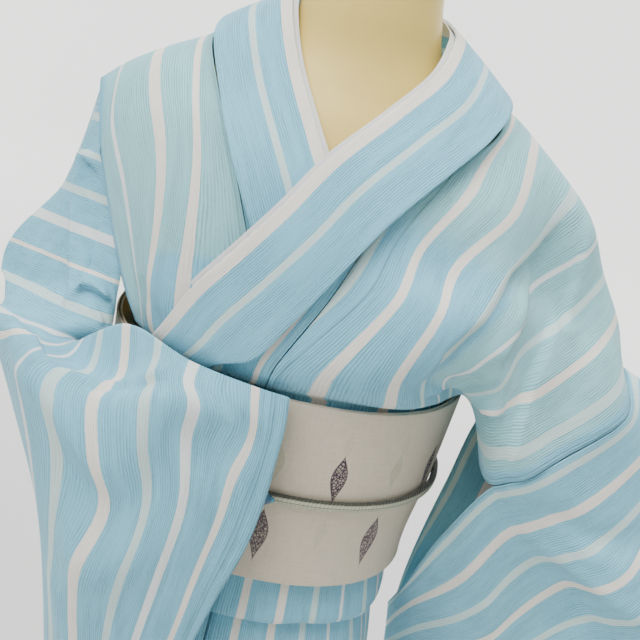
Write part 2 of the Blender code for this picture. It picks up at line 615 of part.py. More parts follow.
def normals(grid, closed=False):
    """Unit normals of a grid, one at each point."""
    if closed:
        along = np.roll(grid, -1, axis=1) - np.roll(grid, 1, axis=1)
    else:
        along = np.gradient(grid, axis=1)
    across = np.gradient(grid, axis=0)
    normal = np.cross(across, along)
    length = np.linalg.norm(normal, axis=2)[:, :, None]
    return normal / np.maximum(length, 1e-12)


def new_object(name, mesh, material):
    """Finish a bmesh as a named object with its own material."""
    bmesh.ops.recalc_face_normals(mesh, faces=mesh.faces)
    data = bpy.data.meshes.new(name)
    mesh.to_mesh(data)
    mesh.free()
    obj = bpy.data.objects.new(name, data)
    bpy.context.scene.collection.objects.link(obj)
    data.materials.append(material)
    return obj


def material(name, colour, roughness, metallic=0.0):
    """Plain Principled material."""
    mat = bpy.data.materials.new(name)
    mat.use_nodes = True
    shader = mat.node_tree.nodes["Principled BSDF"]
    shader.inputs["Base Color"].default_value = (*colour, 1.0)
    shader.inputs["Roughness"].default_value = roughness
    shader.inputs["Metallic"].default_value = metallic
    return mat


def wall(name, grid, thickness, mat, closed=False):
    """Closed solid of even thickness through a grid; closed joins the last column on."""
    offset = normals(grid, closed) * (thickness / 2)
    rows, columns = grid.shape[:2]
    mesh = bmesh.new()
    layers = []
    for points in (grid + offset, grid - offset):
        layers.append([[mesh.verts.new(p) for p in row] for row in points])
    top, bottom = layers
    steps = columns if closed else columns - 1
    for i in range(rows - 1):
        for j in range(steps):
            k = (j + 1) % columns
            mesh.faces.new((top[i][j], top[i][k], top[i + 1][k], top[i + 1][j]))
            mesh.faces.new((bottom[i][j], bottom[i + 1][j], bottom[i + 1][k], bottom[i][k]))
    for i in (0, rows - 1):
        for j in range(steps):
            k = (j + 1) % columns
            mesh.faces.new((top[i][j], top[i][k], bottom[i][k], bottom[i][j]))
    if not closed:
        for j in (0, columns - 1):
            for i in range(rows - 1):
                mesh.faces.new((top[i][j], top[i + 1][j], bottom[i + 1][j], bottom[i][j]))
    return new_object(name, mesh, mat)


def stack(name, rings, mat):
    """Closed solid through stacked rings, capped with fans at both ends."""
    mesh = bmesh.new()
    loops = [[mesh.verts.new(p) for p in ring] for ring in rings]
    count = len(loops[0])
    for low, high in zip(loops, loops[1:]):
        for j in range(count):
            k = (j + 1) % count
            mesh.faces.new((low[j], low[k], high[k], high[j]))
    for loop in (loops[0], loops[-1]):
        centre = mesh.verts.new(np.mean([v.co[:] for v in loop], axis=0))
        for j in range(count):
            mesh.faces.new((loop[j], loop[(j + 1) % count], centre))
    return new_object(name, mesh, mat)


def collar_bands():
    """Both edges of the collar from the left end round the nape to the right end."""
    def end_bands(angles, inset):
        bands = []
        for z in COLLAR_END_Z:
            pair = ring_point(np.array([z, z]), np.array(angles), inset)
            bands.append(Band(tuple(pair[0]), tuple(pair[1])))
        return bands

    left = list(COLLAR_LEFT) + end_bands(COLLAR_LEFT_END, COLLAR_LEFT_INSET)
    right = list(COLLAR_RIGHT) + end_bands(COLLAR_RIGHT_END, COLLAR_RIGHT_INSET)
    return left[::-1] + [COLLAR_NAPE] + right


def band_knots(bands):
    """Distance along the band's middle, from its left end."""
    middle = np.array([(np.array(b.fold) + np.array(b.sewn)) / 2 for b in bands])
    steps = np.linalg.norm(np.diff(middle, axis=0), axis=1)
    return np.concatenate([[0.0], np.cumsum(steps)])


def collar_grid(per_step, columns):
    """Points of the collar by distance along and share across."""
    bands = collar_bands()
    knots = band_knots(bands)
    values = np.interp(np.arange(0, len(knots) - 1 + 1e-9, 1.0 / per_step),
                       np.arange(len(knots)), knots)
    fold = curve(knots, [b.fold for b in bands], values)
    sewn = curve(knots, [b.sewn for b in bands], values)
    share = np.linspace(0.0, 1.0, columns)[None, :, None]
    return fold[:, None, :] * (1 - share) + sewn[:, None, :] * share


def lining_grid(per_step):
    """White band standing just above the collar's fold edge, on its inner side."""
    grid = collar_grid(per_step, 3)
    keep = slice(5 * per_step, (len(COLLAR_LEFT) + len(COLLAR_END_Z) + 6) * per_step + 1)
    fold, sewn = grid[keep, 0], grid[keep, 2]
    inward = -normals(np.stack([fold, sewn], 1))[:, 0]
    centre = np.array([0.0, 0.0, 1.30])
    flip = np.sign(np.sum(inward * (centre - fold), axis=1))[:, None]
    down = (sewn - fold) / np.linalg.norm(sewn - fold, axis=1)[:, None]
    base = fold + inward * flip * (COLLAR_THICK / 2 + LINING_THICK / 2 + 0.0008)
    return np.stack([base - down * 0.0035, base + down * 0.006, base + down * 0.014], 1)


def obi_grid(step):
    """The belt wound nearly twice: one long strip, its second turn outside the first."""
    turns = np.arange(0.0, 650.0 + 0.1, step)
    pitch = OBI_THICK + OBI_GAP
    offset = 0.0003 + OBI_THICK / 2 + pitch * smooth(turns, 295.0, 348.0)
    levels = np.linspace(OBI_BOTTOM, OBI_TOP, 4)
    rows = [ring_point(np.full(len(turns), z), 195.0 + turns, -offset) for z in levels]
    return np.array(rows)


def obi_outside():
    """Distance from the WAIST surface to the belt's outer face."""
    return 0.0003 + 2 * OBI_THICK + OBI_GAP


def drum_grid(samples):
    """Sleeve of belt cloth behind: a closed section drawn out sideways."""
    section = np.array(DRUM_SECTION + DRUM_SECTION[:1])
    knots = np.arange(len(section))
    picks = np.linspace(0, len(section) - 1, samples + 1)[:-1]
    path = curve(knots, section, picks)
    rows = []
    for x in (-DRUM_HALF, 0.0, DRUM_HALF):
        rows.append(np.column_stack([np.full(len(path), x), path]))
    return np.array(rows)


def tail_grid():
    """Flat end of the belt passed through the drum."""
    rows = []
    for z in np.linspace(TAIL_Z[0], TAIL_Z[1], 3):
        rows.append([(x, TAIL_Y, z) for x in np.linspace(-TAIL_HALF, TAIL_HALF, 5)])
    return np.array(rows)


def cord_path(samples):
    """Centre line of the cord: close on the belt in front, inside the drum behind."""
    angles = np.linspace(-100.0, 100.0, 21)
    inset = -(obi_outside() + 0.0004 + CORD_DEPTH / 2)
    front = ring_point(np.full(len(angles), CORD_LEVEL), angles, inset)
    back = [(x, y, CORD_LEVEL) for x, y in CORD_BACK]
    mirror = [(-x, y, z) for x, y, z in reversed(back)]
    points = np.vstack([front, back, [(0.0, .1515, CORD_LEVEL)], mirror, front[:1]])
    knots = np.concatenate([[0.0], np.cumsum(np.linalg.norm(np.diff(points, axis=0), axis=1))])
    picks = np.linspace(0.0, knots[-1], samples + 1)[:-1]
    return curve(knots, points, picks)


def cord_solid(name, mat, samples=64, sides=8):
    """Oval braid swept round the belt."""
    path = cord_path(samples)
    tangent = np.roll(path, -1, axis=0) - np.roll(path, 1, axis=0)
    tangent /= np.linalg.norm(tangent, axis=1)[:, None]
    up = np.array([0.0, 0.0, 1.0])
    out = np.cross(tangent, up)
    mesh = bmesh.new()
    turns = np.linspace(0.0, 2 * math.pi, sides, endpoint=False)
    loops = []
    for centre, outward in zip(path, out):
        ring = [centre + outward * math.cos(a) * CORD_DEPTH / 2 + up * math.sin(a) * CORD_HEIGHT / 2
                for a in turns]
        loops.append([mesh.verts.new(p) for p in ring])
    for i, loop in enumerate(loops):
        after = loops[(i + 1) % len(loops)]
        for j in range(sides):
            k = (j + 1) % sides
            mesh.faces.new((loop[j], loop[k], after[k], after[j]))
    return new_object(name, mesh, mat)


def clasp_solid(name, mat):
    """Pointed leaf of glass with a hollow back, set over the cord."""
    front = float(cord_path(64)[:, 1].min()) - CORD_DEPTH / 2 - 0.0006
    shares = np.sin(np.linspace(-0.47 * math.pi, 0.47 * math.pi, 13))
    rings = []
    for share in shares:
        half = CLASP_HALF_HEIGHT * (1 - abs(share) ** 1.7) + 0.0004
        depth = 0.0042 * (1 - share * share) + 0.0007
        x = CLASP_CENTRE_X + share * CLASP_HALF_LENGTH
        ring = []
        for a in np.linspace(0.0, 2 * math.pi, 14, endpoint=False):
            bulge = math.cos(a)
            y = front - depth * max(bulge, 0.0) - 0.0002 * (1 + bulge)
            ring.append((x, y, CORD_LEVEL + half * math.sin(a)))
        rings.append(ring)
    return stack(name, rings, mat)


def form_solid(name, mat, sides=32):
    """Limbless torso and neck, smooth rings."""
    heights = [row.z for row in FORM]
    rows = [row[1:] for row in FORM]
    levels = np.concatenate([np.linspace(0.860, 1.20, 7), np.linspace(1.225, 1.36, 8),
                             [1.38, 1.41, 1.445, 1.460, 1.467, 1.470]])
    rings = []
    for z, (cx, half, front, back) in zip(levels, curve(heights, rows, levels)):
        ring = []
        for a in np.linspace(0.0, 2 * math.pi, sides, endpoint=False):
            side, ahead = math.sin(a), math.cos(a)
            power = 2.0 / 2.1
            x = cx + half * math.copysign(abs(side) ** power, side)
            depth = front if ahead >= 0 else back
            ring.append((x, -depth * math.copysign(abs(ahead) ** power, ahead), z))
        rings.append(ring)
    return stack(name, rings, mat)


def round_solid(name, mat, profile, sides=40):
    """Turned solid through (radius, z) pairs."""
    rings = []
    for radius, z in profile:
        rings.append([(radius * math.cos(a), radius * math.sin(a), z)
                      for a in np.linspace(0.0, 2 * math.pi, sides, endpoint=False)])
    return stack(name, rings, mat)


def build():
    """Make every piece."""
    cloth = (0.49, 0.68, 0.74)
    left = Side(True)
    right = Side(False)
    for side, word in ((left, "left"), (right, "right")):
        wall("body_" + word, body_grid(side, 8, 15), CLOTH,
             material("crepe_body_" + word, cloth, 0.85))
        wall("okumi_" + word, okumi_grid(side, 9, 5), CLOTH,
             material("crepe_okumi_" + word, cloth, 0.85))
    long_downs = {
        True: (.49, .45, .40, .355, .31, .27, .23, .19, .155, .125, .10, .08, .055, .03,
               .012, .004, 0.0),
        False: (.49, .44, .38, .33, .29, .24, .20, .16, .13, .105, .085, .065, .048, .032,
                .018, .008, 0.0),
    }
    for body, word in ((left, "left"), (right, "right")):
        sleeve = Sleeve(body.left, body)
        steps = np.linspace(0.0, 1.0, 14 if body.left else 17)
        grid = np.array([sleeve.ring(w, long_downs[body.left]) for w in steps * sleeve.width])
        wall("sleeve_" + word, grid, CLOTH, material("crepe_sleeve_" + word, cloth, 0.85),
             closed=True)
    wall("collar", collar_grid(2, 4), COLLAR_THICK, material("crepe_collar", cloth, 0.85))
    wall("collar_lining", lining_grid(2), LINING_THICK,
         material("white_lining", (0.86, 0.86, 0.84), 0.8))
    belt = (0.62, 0.55, 0.49)
    wall("obi_band", obi_grid(10.0), OBI_THICK, material("obi_weave", belt, 0.8))
    wall("obi_drum", drum_grid(24), DRUM_THICK, material("obi_weave_drum", belt, 0.8),
         closed=True)
    wall("obi_tail", tail_grid(), OBI_THICK, material("obi_weave_tail", belt, 0.8))
    cord_solid("obi_cord", material("cord_braid", (0.40, 0.39, 0.31), 0.7))
    clasp_solid("obi_clasp", material("blue_glass", (0.02, 0.19, 0.33), 0.08))
    form = (0.80, 0.66, 0.34)
    form_solid("form_torso", material("form_shell", form, 0.42))
    round_solid("form_pole", material("form_pole_metal", (0.62, 0.62, 0.60), 0.3, 1.0),
                ((POLE_RADIUS, BASE_HEIGHT + 0.0003), (POLE_RADIUS, 0.44),
                 (POLE_RADIUS, 0.8597)), 24)
    round_solid("form_base", material("form_base_paint", (0.70, 0.70, 0.68), 0.4),
                ((BASE_RADIUS - 0.002, 0.0), (BASE_RADIUS, 0.002),
                 (BASE_RADIUS, BASE_HEIGHT - 0.006), (BASE_RADIUS - 0.004, BASE_HEIGHT - 0.001),
                 (BASE_RADIUS - 0.010, BASE_HEIGHT)), 40)


for old in list(bpy.data.objects):
    bpy.data.objects.remove(old, do_unlink=True)
build()
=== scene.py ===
"""Visual model of a summer kimono worn on a limbless dress form.

Frame: metres, +Z up, the front of the garment faces -Y, +X is the wearer's
left. Cloth is modelled through its own coordinates: "across" runs from the
neck point towards the cuff, "station" runs down from the shoulder fold. The
same coordinates carry the woven stripes and the crepe's ribs.
"""

import logging
import math
from collections import namedtuple
from dataclasses import dataclass, field
from enum import Enum
from typing import Callable, Optional, Sequence

import bpy
import numpy as np
from mathutils import Matrix


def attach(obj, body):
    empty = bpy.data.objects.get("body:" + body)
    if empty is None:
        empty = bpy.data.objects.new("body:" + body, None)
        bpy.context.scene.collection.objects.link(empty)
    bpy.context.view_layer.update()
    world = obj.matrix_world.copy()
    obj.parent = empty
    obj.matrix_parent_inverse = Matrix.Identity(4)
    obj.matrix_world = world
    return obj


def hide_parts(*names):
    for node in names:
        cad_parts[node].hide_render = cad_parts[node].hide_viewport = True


LOG = logging.getLogger("summer_kimono")
Array = np.ndarray


def named(kind: Callable, table: Sequence[tuple]) -> tuple:
    """Table rows with named columns."""
    return tuple(kind(*row) for row in table)


# Sizes that drive the build
COLLAR_THICK = 0.0028
LINING_THICK = 0.0012
OBI_THICK = 0.0020
OBI_GAP = 0.0006
SEAM_GAP = 0.0005
BELT_CLEARANCE = 0.0003
OBI_TOP = 1.118
OBI_BOTTOM = 0.963
CORD_HEIGHT = 0.0085
CORD_DEPTH = 0.0055
CORD_LEVEL = 1.040
RING_POWER = 2.2

# Waist and skirt, measured on the inside of the belt and below it
Waist = namedtuple("Waist", "z half_width front back")
WAIST = named(Waist, (
    (.05, .13, .118, .122),
    (.5, .137, .126, .132),
    (.8, .14, .127, .138),
    (.9, .136, .122, .127),
    (.965, .1235, .1085, .11),
    (1.04, .13, .116, .113),
    (1.125, .136, .1235, .116),
))

# Warp lines of the body panels. "across" is the cloth's own distance from the
# neck point towards the sleeve; the points run down from the shoulder fold.
Front = namedtuple("Front", "across shoulder yoke chest bust waist brim")
LEFT_STATIONS = (0.0, .07, .14, .2, .26, .3)
LEFT_FRONT = named(Front, (
    (-.01, (.109, -.032, 1.324), (.079, -.082, 1.291), (.04, -.116, 1.245),
     (.02, -.134, 1.196), (-.003, -.139, 1.145), (-.006, -.132, 1.1285)),
    (.037, (.139, -.017, 1.312), (.13, -.077, 1.274), (.092, -.11, 1.235),
     (.087, -.138, 1.207), (.076, -.139, 1.155), (.079, -.117, 1.1285)),
    (.085, (.191, -.017, 1.272), (.153, -.058, 1.23), (.143, -.106, 1.21),
     (.118, -.13, 1.18), (.103, -.113, 1.152), (.111, -.091, 1.128)),
    (.125, (.215, -.011, 1.232), (.186, -.053, 1.2), (.16, -.09, 1.184),
     (.147, -.116, 1.163), (.12, -.091, 1.149), (.123, -.072, 1.128)),
    (.165, (.241, -.01, 1.192), (.223, -.06, 1.176), (.181, -.093, 1.143),
     (.156, -.11, 1.131), (.144, -.075, 1.124), (.137, -.048, 1.1275)),
    (.202, (.254, -.011, 1.16), (.255, -.06, 1.145), (.215, -.092, 1.116),
     (.18, -.11, 1.094), (.16, -.078, 1.084), (.147, -.025, 1.123)),
))
LEFT_BELT_ANGLE = (-2.5, 35.0, 56.0, 68.0, 80.0, 90.0)
RIGHT_STATIONS = (0.0, .04, .09, .14, .2, .225)
RIGHT_FRONT = named(Front, (
    (-.01, (-.107, -.029, 1.331), (-.088, -.07, 1.301), (-.061, -.101, 1.255),
     (-.04, -.1115, 1.21), (-.016, -.1145, 1.152), (-.012, -.1145, 1.1285)),
    (.012, (-.114, -.018, 1.327), (-.102, -.066, 1.296), (-.09, -.09, 1.256),
     (-.082, -.105, 1.209), (-.074, -.109, 1.15), (-.07, -.106, 1.1285)),
    (.041, (-.141, -.012, 1.313), (-.127, -.06, 1.286), (-.114, -.086, 1.245),
     (-.106, -.097, 1.2), (-.1, -.098, 1.145), (-.095, -.094, 1.128)),
    (.075, (-.167, -.01, 1.296), (-.164, -.036, 1.26), (-.145, -.062, 1.218),
     (-.127, -.08, 1.18), (-.108, -.092, 1.14), (-.104, -.088, 1.1275)),
    (.105, (-.184, -.014, 1.279), (-.17, -.04, 1.24), (-.15, -.056, 1.194),
     (-.131, -.072, 1.158), (-.113, -.085, 1.133), (-.112, -.078, 1.127)),
))
RIGHT_BELT_ANGLE = (-4.0, -31.5, -47.0, -53.0, -58.0)
# Height at which the fronts go under the belt, and the cloth's run next to it
BELT_RING_Z = 1.119
BRIM_MARGIN = .016
BELT_RUN = .03
BACK_END = .31

Back = namedtuple("Back", "across ridge yoke blade mid_back brim")
BACK_STATIONS = (.03, .08, .15, .23, .28)
LEFT_BACK = named(Back, (
    (-.09, (.004, .05, 1.367), (.0012, .09, 1.335), (.0012, .116, 1.27),
     (.0012, .121, 1.19), (.0012, .119, 1.13)),
    (-.01, (.106, -.002, 1.334), (.098, .045, 1.316), (.088, .09, 1.262),
     (.082, .105, 1.188), (.079, .103, 1.13)),
    (.037, (.138, .012, 1.314), (.13, .055, 1.292), (.118, .09, 1.24),
     (.105, .1, 1.18), (.1, .092, 1.1295)),
    (.085, (.193, .012, 1.268), (.178, .05, 1.245), (.155, .078, 1.205),
     (.132, .082, 1.16), (.121, .074, 1.129)),
    (.125, (.219, .016, 1.228), (.205, .05, 1.208), (.178, .07, 1.178),
     (.148, .07, 1.145), (.134, .056, 1.128)),
    (.165, (.245, .018, 1.19), (.23, .05, 1.172), (.2, .064, 1.148),
     (.162, .06, 1.128), (.144, .036, 1.126)),
    (.202, (.256, .02, 1.158), (.246, .052, 1.14), (.218, .06, 1.112),
     (.17, .042, 1.084), (.148, .014, 1.1235)),
))
LEFT_BACK_ANGLE = (179.5, 138.0, 125.0, 114.0, 106.0, 98.0, 92.5)
RIGHT_BACK = named(Back, (
    (-.09, (-.004, .05, 1.367), (-.0012, .09, 1.335), (-.0012, .116, 1.27),
     (-.0012, .121, 1.19), (-.0012, .119, 1.13)),
    (-.01, (-.104, .000, 1.338), (-.097, .045, 1.318), (-.088, .09, 1.262),
     (-.082, .105, 1.188), (-.079, .103, 1.13)),
    (.012, (-.113, .012, 1.329), (-.108, .052, 1.308), (-.1, .092, 1.255),
     (-.096, .102, 1.185), (-.09, .097, 1.1295)),
    (.041, (-.141, .014, 1.312), (-.134, .052, 1.29), (-.122, .084, 1.238),
     (-.113, .092, 1.175), (-.103, .086, 1.129)),
    (.075, (-.168, .016, 1.292), (-.16, .05, 1.268), (-.143, .074, 1.22),
     (-.13, .078, 1.165), (-.121, .068, 1.128)),
    (.105, (-.188, .014, 1.274), (-.183, .044, 1.25), (-.165, .062, 1.205),
     (-.143, .058, 1.15), (-.133, .04, 1.127)),
))
RIGHT_BACK_ANGLE = (-179.5, -138.0, -130.0, -120.0, -108.0, -96.0)

# Neckline cut into the back: distance behind the shoulder fold against across
Neck = namedtuple("Neck", "behind across")
NECKLINE = (Neck(0.0, -.01), Neck(.03, -.022), Neck(.06, -.05), Neck(.08, -.09))
NECK_EDGE = NECKLINE[0].across
CENTRE_BACK = NECKLINE[-1].across

# Folds under the belt and below it: height, and inset from the WAIST surface
Fold = namedtuple("Fold", "z left_inset right_inset")
TUCK = named(Fold, (
    (1.119, .0062, .0165),
    (1.095, .006, .0165),
    (1.063, .0058, .015),
    (1.03, .0055, .013),
    (.97, .0055, .01),
    (.953, .0055, .009),
    (.936, .0055, .009),
    (.9245, .0075, .0096),
    (.9225, .0105, .0108),
    (.9245, .0135, .012),
    (.936, .016, .0125),
    (.951, .016, .0125),
    (.965, .016, .013),
    (.9735, .0164, .0138),
    (.9755, .0177, .0177),
    (.9735, .019, .022),
    (.965, .0195, .023),
    (.935, .0195, .023),
    (.908, .0175, .021),
    (.87, .013, .0165),
    (.82, .008, .0115),
    (.7, .004, .0075),
    (.45, .002, .0055),
    (.22, .001, .0045),
    (.05, .001, .0045),
))
# Rows of TUCK that lie higher on the right panel, the row where the skirt starts, the
# steps along the path and the drop over which the panels spread to their hem angles
RAISED_FOLDS = (7, 8, 9, 13, 14, 15)
RIGHT_TUCK_RISE = .007
SKIRT_START = 20
TUCK_STEP = .004
SKIRT_STEP = .012
BELT_SPREAD = .12

# Collar: fold edge (next to the neck) and sewn edge, from the nape down
Band = namedtuple("Band", "fold sewn")
COLLAR_NAPE = Band((0.0, .083, 1.378), (0.0, .0985, 1.336))
COLLAR_LEFT = named(Band, (
    ((.04, .066, 1.38), (.06, .08, 1.342)),
    ((.059, .02, 1.376), (.1, .028, 1.343)),
    ((.06, -.02, 1.368), (.112, -.026, 1.336)),
    ((.052, -.053, 1.348), (.1, -.068, 1.317)),
    ((.028, -.079, 1.32), (.078, -.097, 1.293)),
    ((-.005, -.11, 1.283), (.045, -.124, 1.253)),
    ((-.025, -.126, 1.251), (.025, -.137, 1.221)),
    ((-.05, -.134, 1.214), (.002, -.143, 1.181)),
    ((-.071, -.132, 1.182), (-.02, -.144, 1.147)),
    ((-.086, -.122, 1.15), (-.04, -.137, 1.136)),
    ((-.094, -.112, 1.132), (-.048, -.129, 1.1285)),
))
COLLAR_RIGHT = named(Band, (
    ((-.04, .066, 1.38), (-.06, .08, 1.342)),
    ((-.058, .022, 1.378), (-.098, .028, 1.3475)),
    ((-.058, -.018, 1.37), (-.1065, -.026, 1.3385)),
    ((-.042, -.052, 1.335), (-.088, -.072, 1.303)),
    ((-.022, -.078, 1.305), (-.069, -.1, 1.271)),
    ((-.004, -.097, 1.279), (-.05, -.1135, 1.24)),
    ((.015, -.107, 1.246), (-.03, -.12, 1.208)),
    ((.036, -.111, 1.212), (-.008, -.122, 1.172)),
    ((.055, -.109, 1.175), (.01, -.1215, 1.145)),
    ((.07, -.101, 1.133), (.024, -.1155, 1.129)),
))
COLLAR_LEFT_END = (-43.0, -20.0)
COLLAR_RIGHT_END = (35.0, 11.0)
COLLAR_END_Z = (1.119, 1.104, 1.09)
COLLAR_LEFT_INSET = .002
COLLAR_RIGHT_INSET = .011

# Outer edge of each overlap panel under the collar, beside its seam edge
Edge = namedtuple("Edge", "station point")
OKUMI_LEFT_EDGE = named(Edge, (
    (.13, (.034, -.1165, 1.25)),
    (.2, (0.0, -.133, 1.205)),
    (.26, (-.042, -.1325, 1.15)),
    (.3, (-.045, -.124, 1.1285)),
))
OKUMI_RIGHT_EDGE = named(Edge, (
    (.09, (-.053, -.104, 1.256)),
    (.14, (-.018, -.1115, 1.205)),
    (.2, (.03, -.1105, 1.15)),
    (.225, (.038, -.107, 1.1285)),
))
# Angles round the skirt, and how far each panel keeps off its seams, in degrees
OKUMI_BELT_ANGLE = {True: -20.0, False: 16.0}
OKUMI_HEM_ANGLE = 56.0
OKUMI_SEAM_ANGLE = .45
SIDE_SEAM_ANGLE = 93.0
BACK_SEAM_ANGLE = 179.87
SEAM_ANGLE = .13

# Where a front starts to lie over other layers, and where it does so fully
Lapped = namedtuple("Lapped", "start full inner clear low low_full")
LAPPED = {True: Lapped(.1, .14, .075, .082, .245, .262),
          False: Lapped(.15, .156, .045, .052, .205, .215)}
TURNED_EDGE = (.006, .008)
TURNED_FROM = -.3

# Pressed lines, grooves darkened with painted shade: in from a panel's outer edge, beside the neck
# and at the seams
HEM_LINE = .003
NECK_LINE = -.0075
OKUMI_LINE = .0016
CUFF_LINES = (.012, .0095)
CUFF_TURN = (.014, .012)

# Warp lines of the sleeves, front layer: "across" runs from the body to the cuff
SleeveLeft = namedtuple("SleeveLeft", "across top upper mid joint lower low hem")
LEFT_SLEEVE_STATIONS = (0.0, .08, .155, .23, .31, .4, .49)
LEFT_SLEEVE = named(SleeveLeft, (
    (0.0, (.255, -.011, 1.16), (.255, -.066, 1.142), (.207, -.098, 1.11),
     (.169, -.101, 1.082), (.151, -.064, 1.016), (.142, -.02, .94),
     (.142, .05, .872)),
    (.05, (.314, -.01, 1.15), (.283, -.056, 1.101), (.242, -.093, 1.063),
     (.203, -.09, 1.036), (.181, -.072, .975), (.155, -.012, .905),
     (.148, .052, .838)),
    (.11, (.359, -.005, 1.106), (.322, -.05, 1.054), (.293, -.096, 1.018),
     (.253, -.078, .989), (.209, -.072, .922), (.18, -.022, .862),
     (.152, .04, .8)),
    (.18, (.406, .002, 1.048), (.367, -.039, 1.003), (.343, -.084, .956),
     (.288, -.082, .917), (.233, -.064, .858), (.19, -.026, .806),
     (.158, .015, .748)),
    (.26, (.442, .011, .976), (.385, -.016, .93), (.338, -.05, .885),
     (.284, -.064, .838), (.232, -.052, .782), (.195, -.028, .728),
     (.166, .000, .678)),
    (.33, (.472, .016, .913), (.415, -.008, .868), (.36, -.029, .822),
     (.308, -.043, .774), (.255, -.04, .718), (.208, -.026, .664),
     (.176, -.006, .618)),
))
# How far behind the front layer the back layer hangs
Gap = namedtuple("Gap", "across top upper mid joint lower low hem")
LEFT_SLEEVE_GAP = named(Gap, (
    (0.0, 0.0, .112, .152, .137, .084, .044, .000),
    (.05, 0.0, .075, .106, .094, .064, .03, .000),
    (.11, 0.0, .04, .064, .06, .044, .02, .000),
    (.18, 0.0, .021, .036, .036, .03, .014, .000),
    (.26, 0.0, .011, .02, .02, .016, .008, .000),
    (.33, 0.0, .007, .014, .012, .000, .000, .000),
))

# Right sleeve, drawn forward across the belt: each row is a section of the
# bent tube, from the armpit and top edge round to the outer and lower edge
SleeveRight = namedtuple("SleeveRight", "across inner u2 u4 u7 u11 u16 u29 outer")
RIGHT_SLEEVE_STATIONS = (0.0, .02, .045, .075, .11, .16, .29, .49)
RIGHT_SLEEVE = named(SleeveRight, (
    (0.0, (-.135, -.07, 1.165), (-.137, -.068, 1.17), (-.14, -.064, 1.177),
     (-.146, -.06, 1.187), (-.154, -.052, 1.202), (-.166, -.042, 1.228),
     (-.176, -.032, 1.256), (-.184, -.018, 1.278)),
    (.07, (-.13, -.074, 1.128), (-.134, -.074, 1.137), (-.143, -.069, 1.148),
     (-.155, -.058, 1.168), (-.157, -.051, 1.185), (-.168, -.041, 1.2005),
     (-.186, -.03, 1.2035), (-.195, -.019, 1.202)),
    (.14, (-.131, -.088, 1.116), (-.136, -.088, 1.122), (-.144, -.084, 1.128),
     (-.157, -.077, 1.131), (-.163, -.071, 1.136), (-.172, -.063, 1.138),
     (-.202, -.047, 1.134), (-.228, -.038, 1.131)),
    (.2, (-.15, -.096, 1.108), (-.16, -.107, 1.112), (-.173, -.114, 1.113),
     (-.187, -.114, 1.109), (-.199, -.104, 1.099), (-.205, -.089, 1.085),
     (-.2, -.068, 1.062), (-.191, -.054, 1.043)),
    (.222, (-.145, -.104, 1.112), (-.152, -.118, 1.107), (-.166, -.134, 1.108),
     (-.176, -.139, 1.097), (-.172, -.134, 1.072), (-.165, -.124, 1.03),
     (-.148, -.09, .95), (-.136, -.062, .865)),
    (.245, (-.135, -.11, 1.122), (-.137, -.122, 1.102), (-.154, -.14, 1.105),
     (-.159, -.151, 1.093), (-.151, -.146, 1.059), (-.144, -.136, 1.000),
     (-.13, -.114, .878), (-.114, -.094, .73)),
    (.28, (-.113, -.116, 1.138), (-.107, -.132, 1.106), (-.12, -.149, 1.094),
     (-.112, -.163, 1.058), (-.101, -.163, 1.024), (-.11, -.156, .972),
     (-.102, -.138, .85), (-.094, -.124, .66)),
    (.34, (-.056, -.143, 1.134), (-.057, -.152, 1.124), (-.051, -.16, 1.113),
     (-.054, -.158, 1.086), (-.048, -.158, 1.042), (-.053, -.158, .975),
     (-.06, -.152, .848), (-.058, -.142, .644)),
    (.4, (.011, -.142, 1.126), (.013, -.146, 1.11), (.013, -.149, 1.084),
     (.012, -.151, 1.05), (.008, -.153, 1.015), (-.005, -.152, .962),
     (-.03, -.15, .832), (-.042, -.146, .634)),
))
# Back layer of the same sleeve where it hangs well clear of the front layer
RIGHT_SLEEVE_BACK = named(SleeveRight, (
    (0.0, (-.168, .056, 1.218), (-.17, .055, 1.222), (-.172, .054, 1.227),
     (-.176, .05, 1.234), (-.179, .047, 1.242), (-.183, .039, 1.254),
     (-.187, .018, 1.27), (-.183, -.01, 1.276)),
    (.07, (-.158, .03, 1.138), (-.168, .04, 1.145), (-.176, .046, 1.152),
     (-.184, .05, 1.165), (-.19, .05, 1.176), (-.196, .042, 1.186),
     (-.2, .018, 1.196), (-.198, -.01, 1.199)),
    (.14, (-.15, -.062, 1.098), (-.156, -.05, 1.098), (-.164, -.038, 1.1),
     (-.174, -.026, 1.104), (-.184, -.018, 1.108), (-.194, -.012, 1.113),
     (-.213, -.012, 1.119), (-.227, -.021, 1.125)),
    (.2, (-.152, -.087, 1.1), (-.158, -.084, 1.094), (-.164, -.078, 1.086),
     (-.17, -.07, 1.077), (-.176, -.061, 1.067), (-.182, -.052, 1.057),
     (-.188, -.044, 1.042), (-.191, -.042, 1.034)),
))

# How a sleeve is sewn and filled: length of the sewn edge, distance between the
# layers, how far its edge is tucked under the panel, how much shows through
SleeveSewing = namedtuple("SleeveSewing", "sewn loft tuck layered")
SLEEVE_SEWING = {True: SleeveSewing(.23, .0055, 0.0, .85),
                 False: SleeveSewing(.126, .009, .0024, .95)}
FOLD_ROUND = .006
SEWN_REACH = .05
SEWN_RELEASE = .06
HELD_START = .004
CLEAR_EDGE = .0007
CLEAR_SHOULDER = .001

# How the right sleeve's layers close up at their ends, past the elbow
CLOSED_SHARE = .55
CLOSED_TOP = .02
CLOSED_HEM = .03
CLOSED_FROM = (.2, .25)

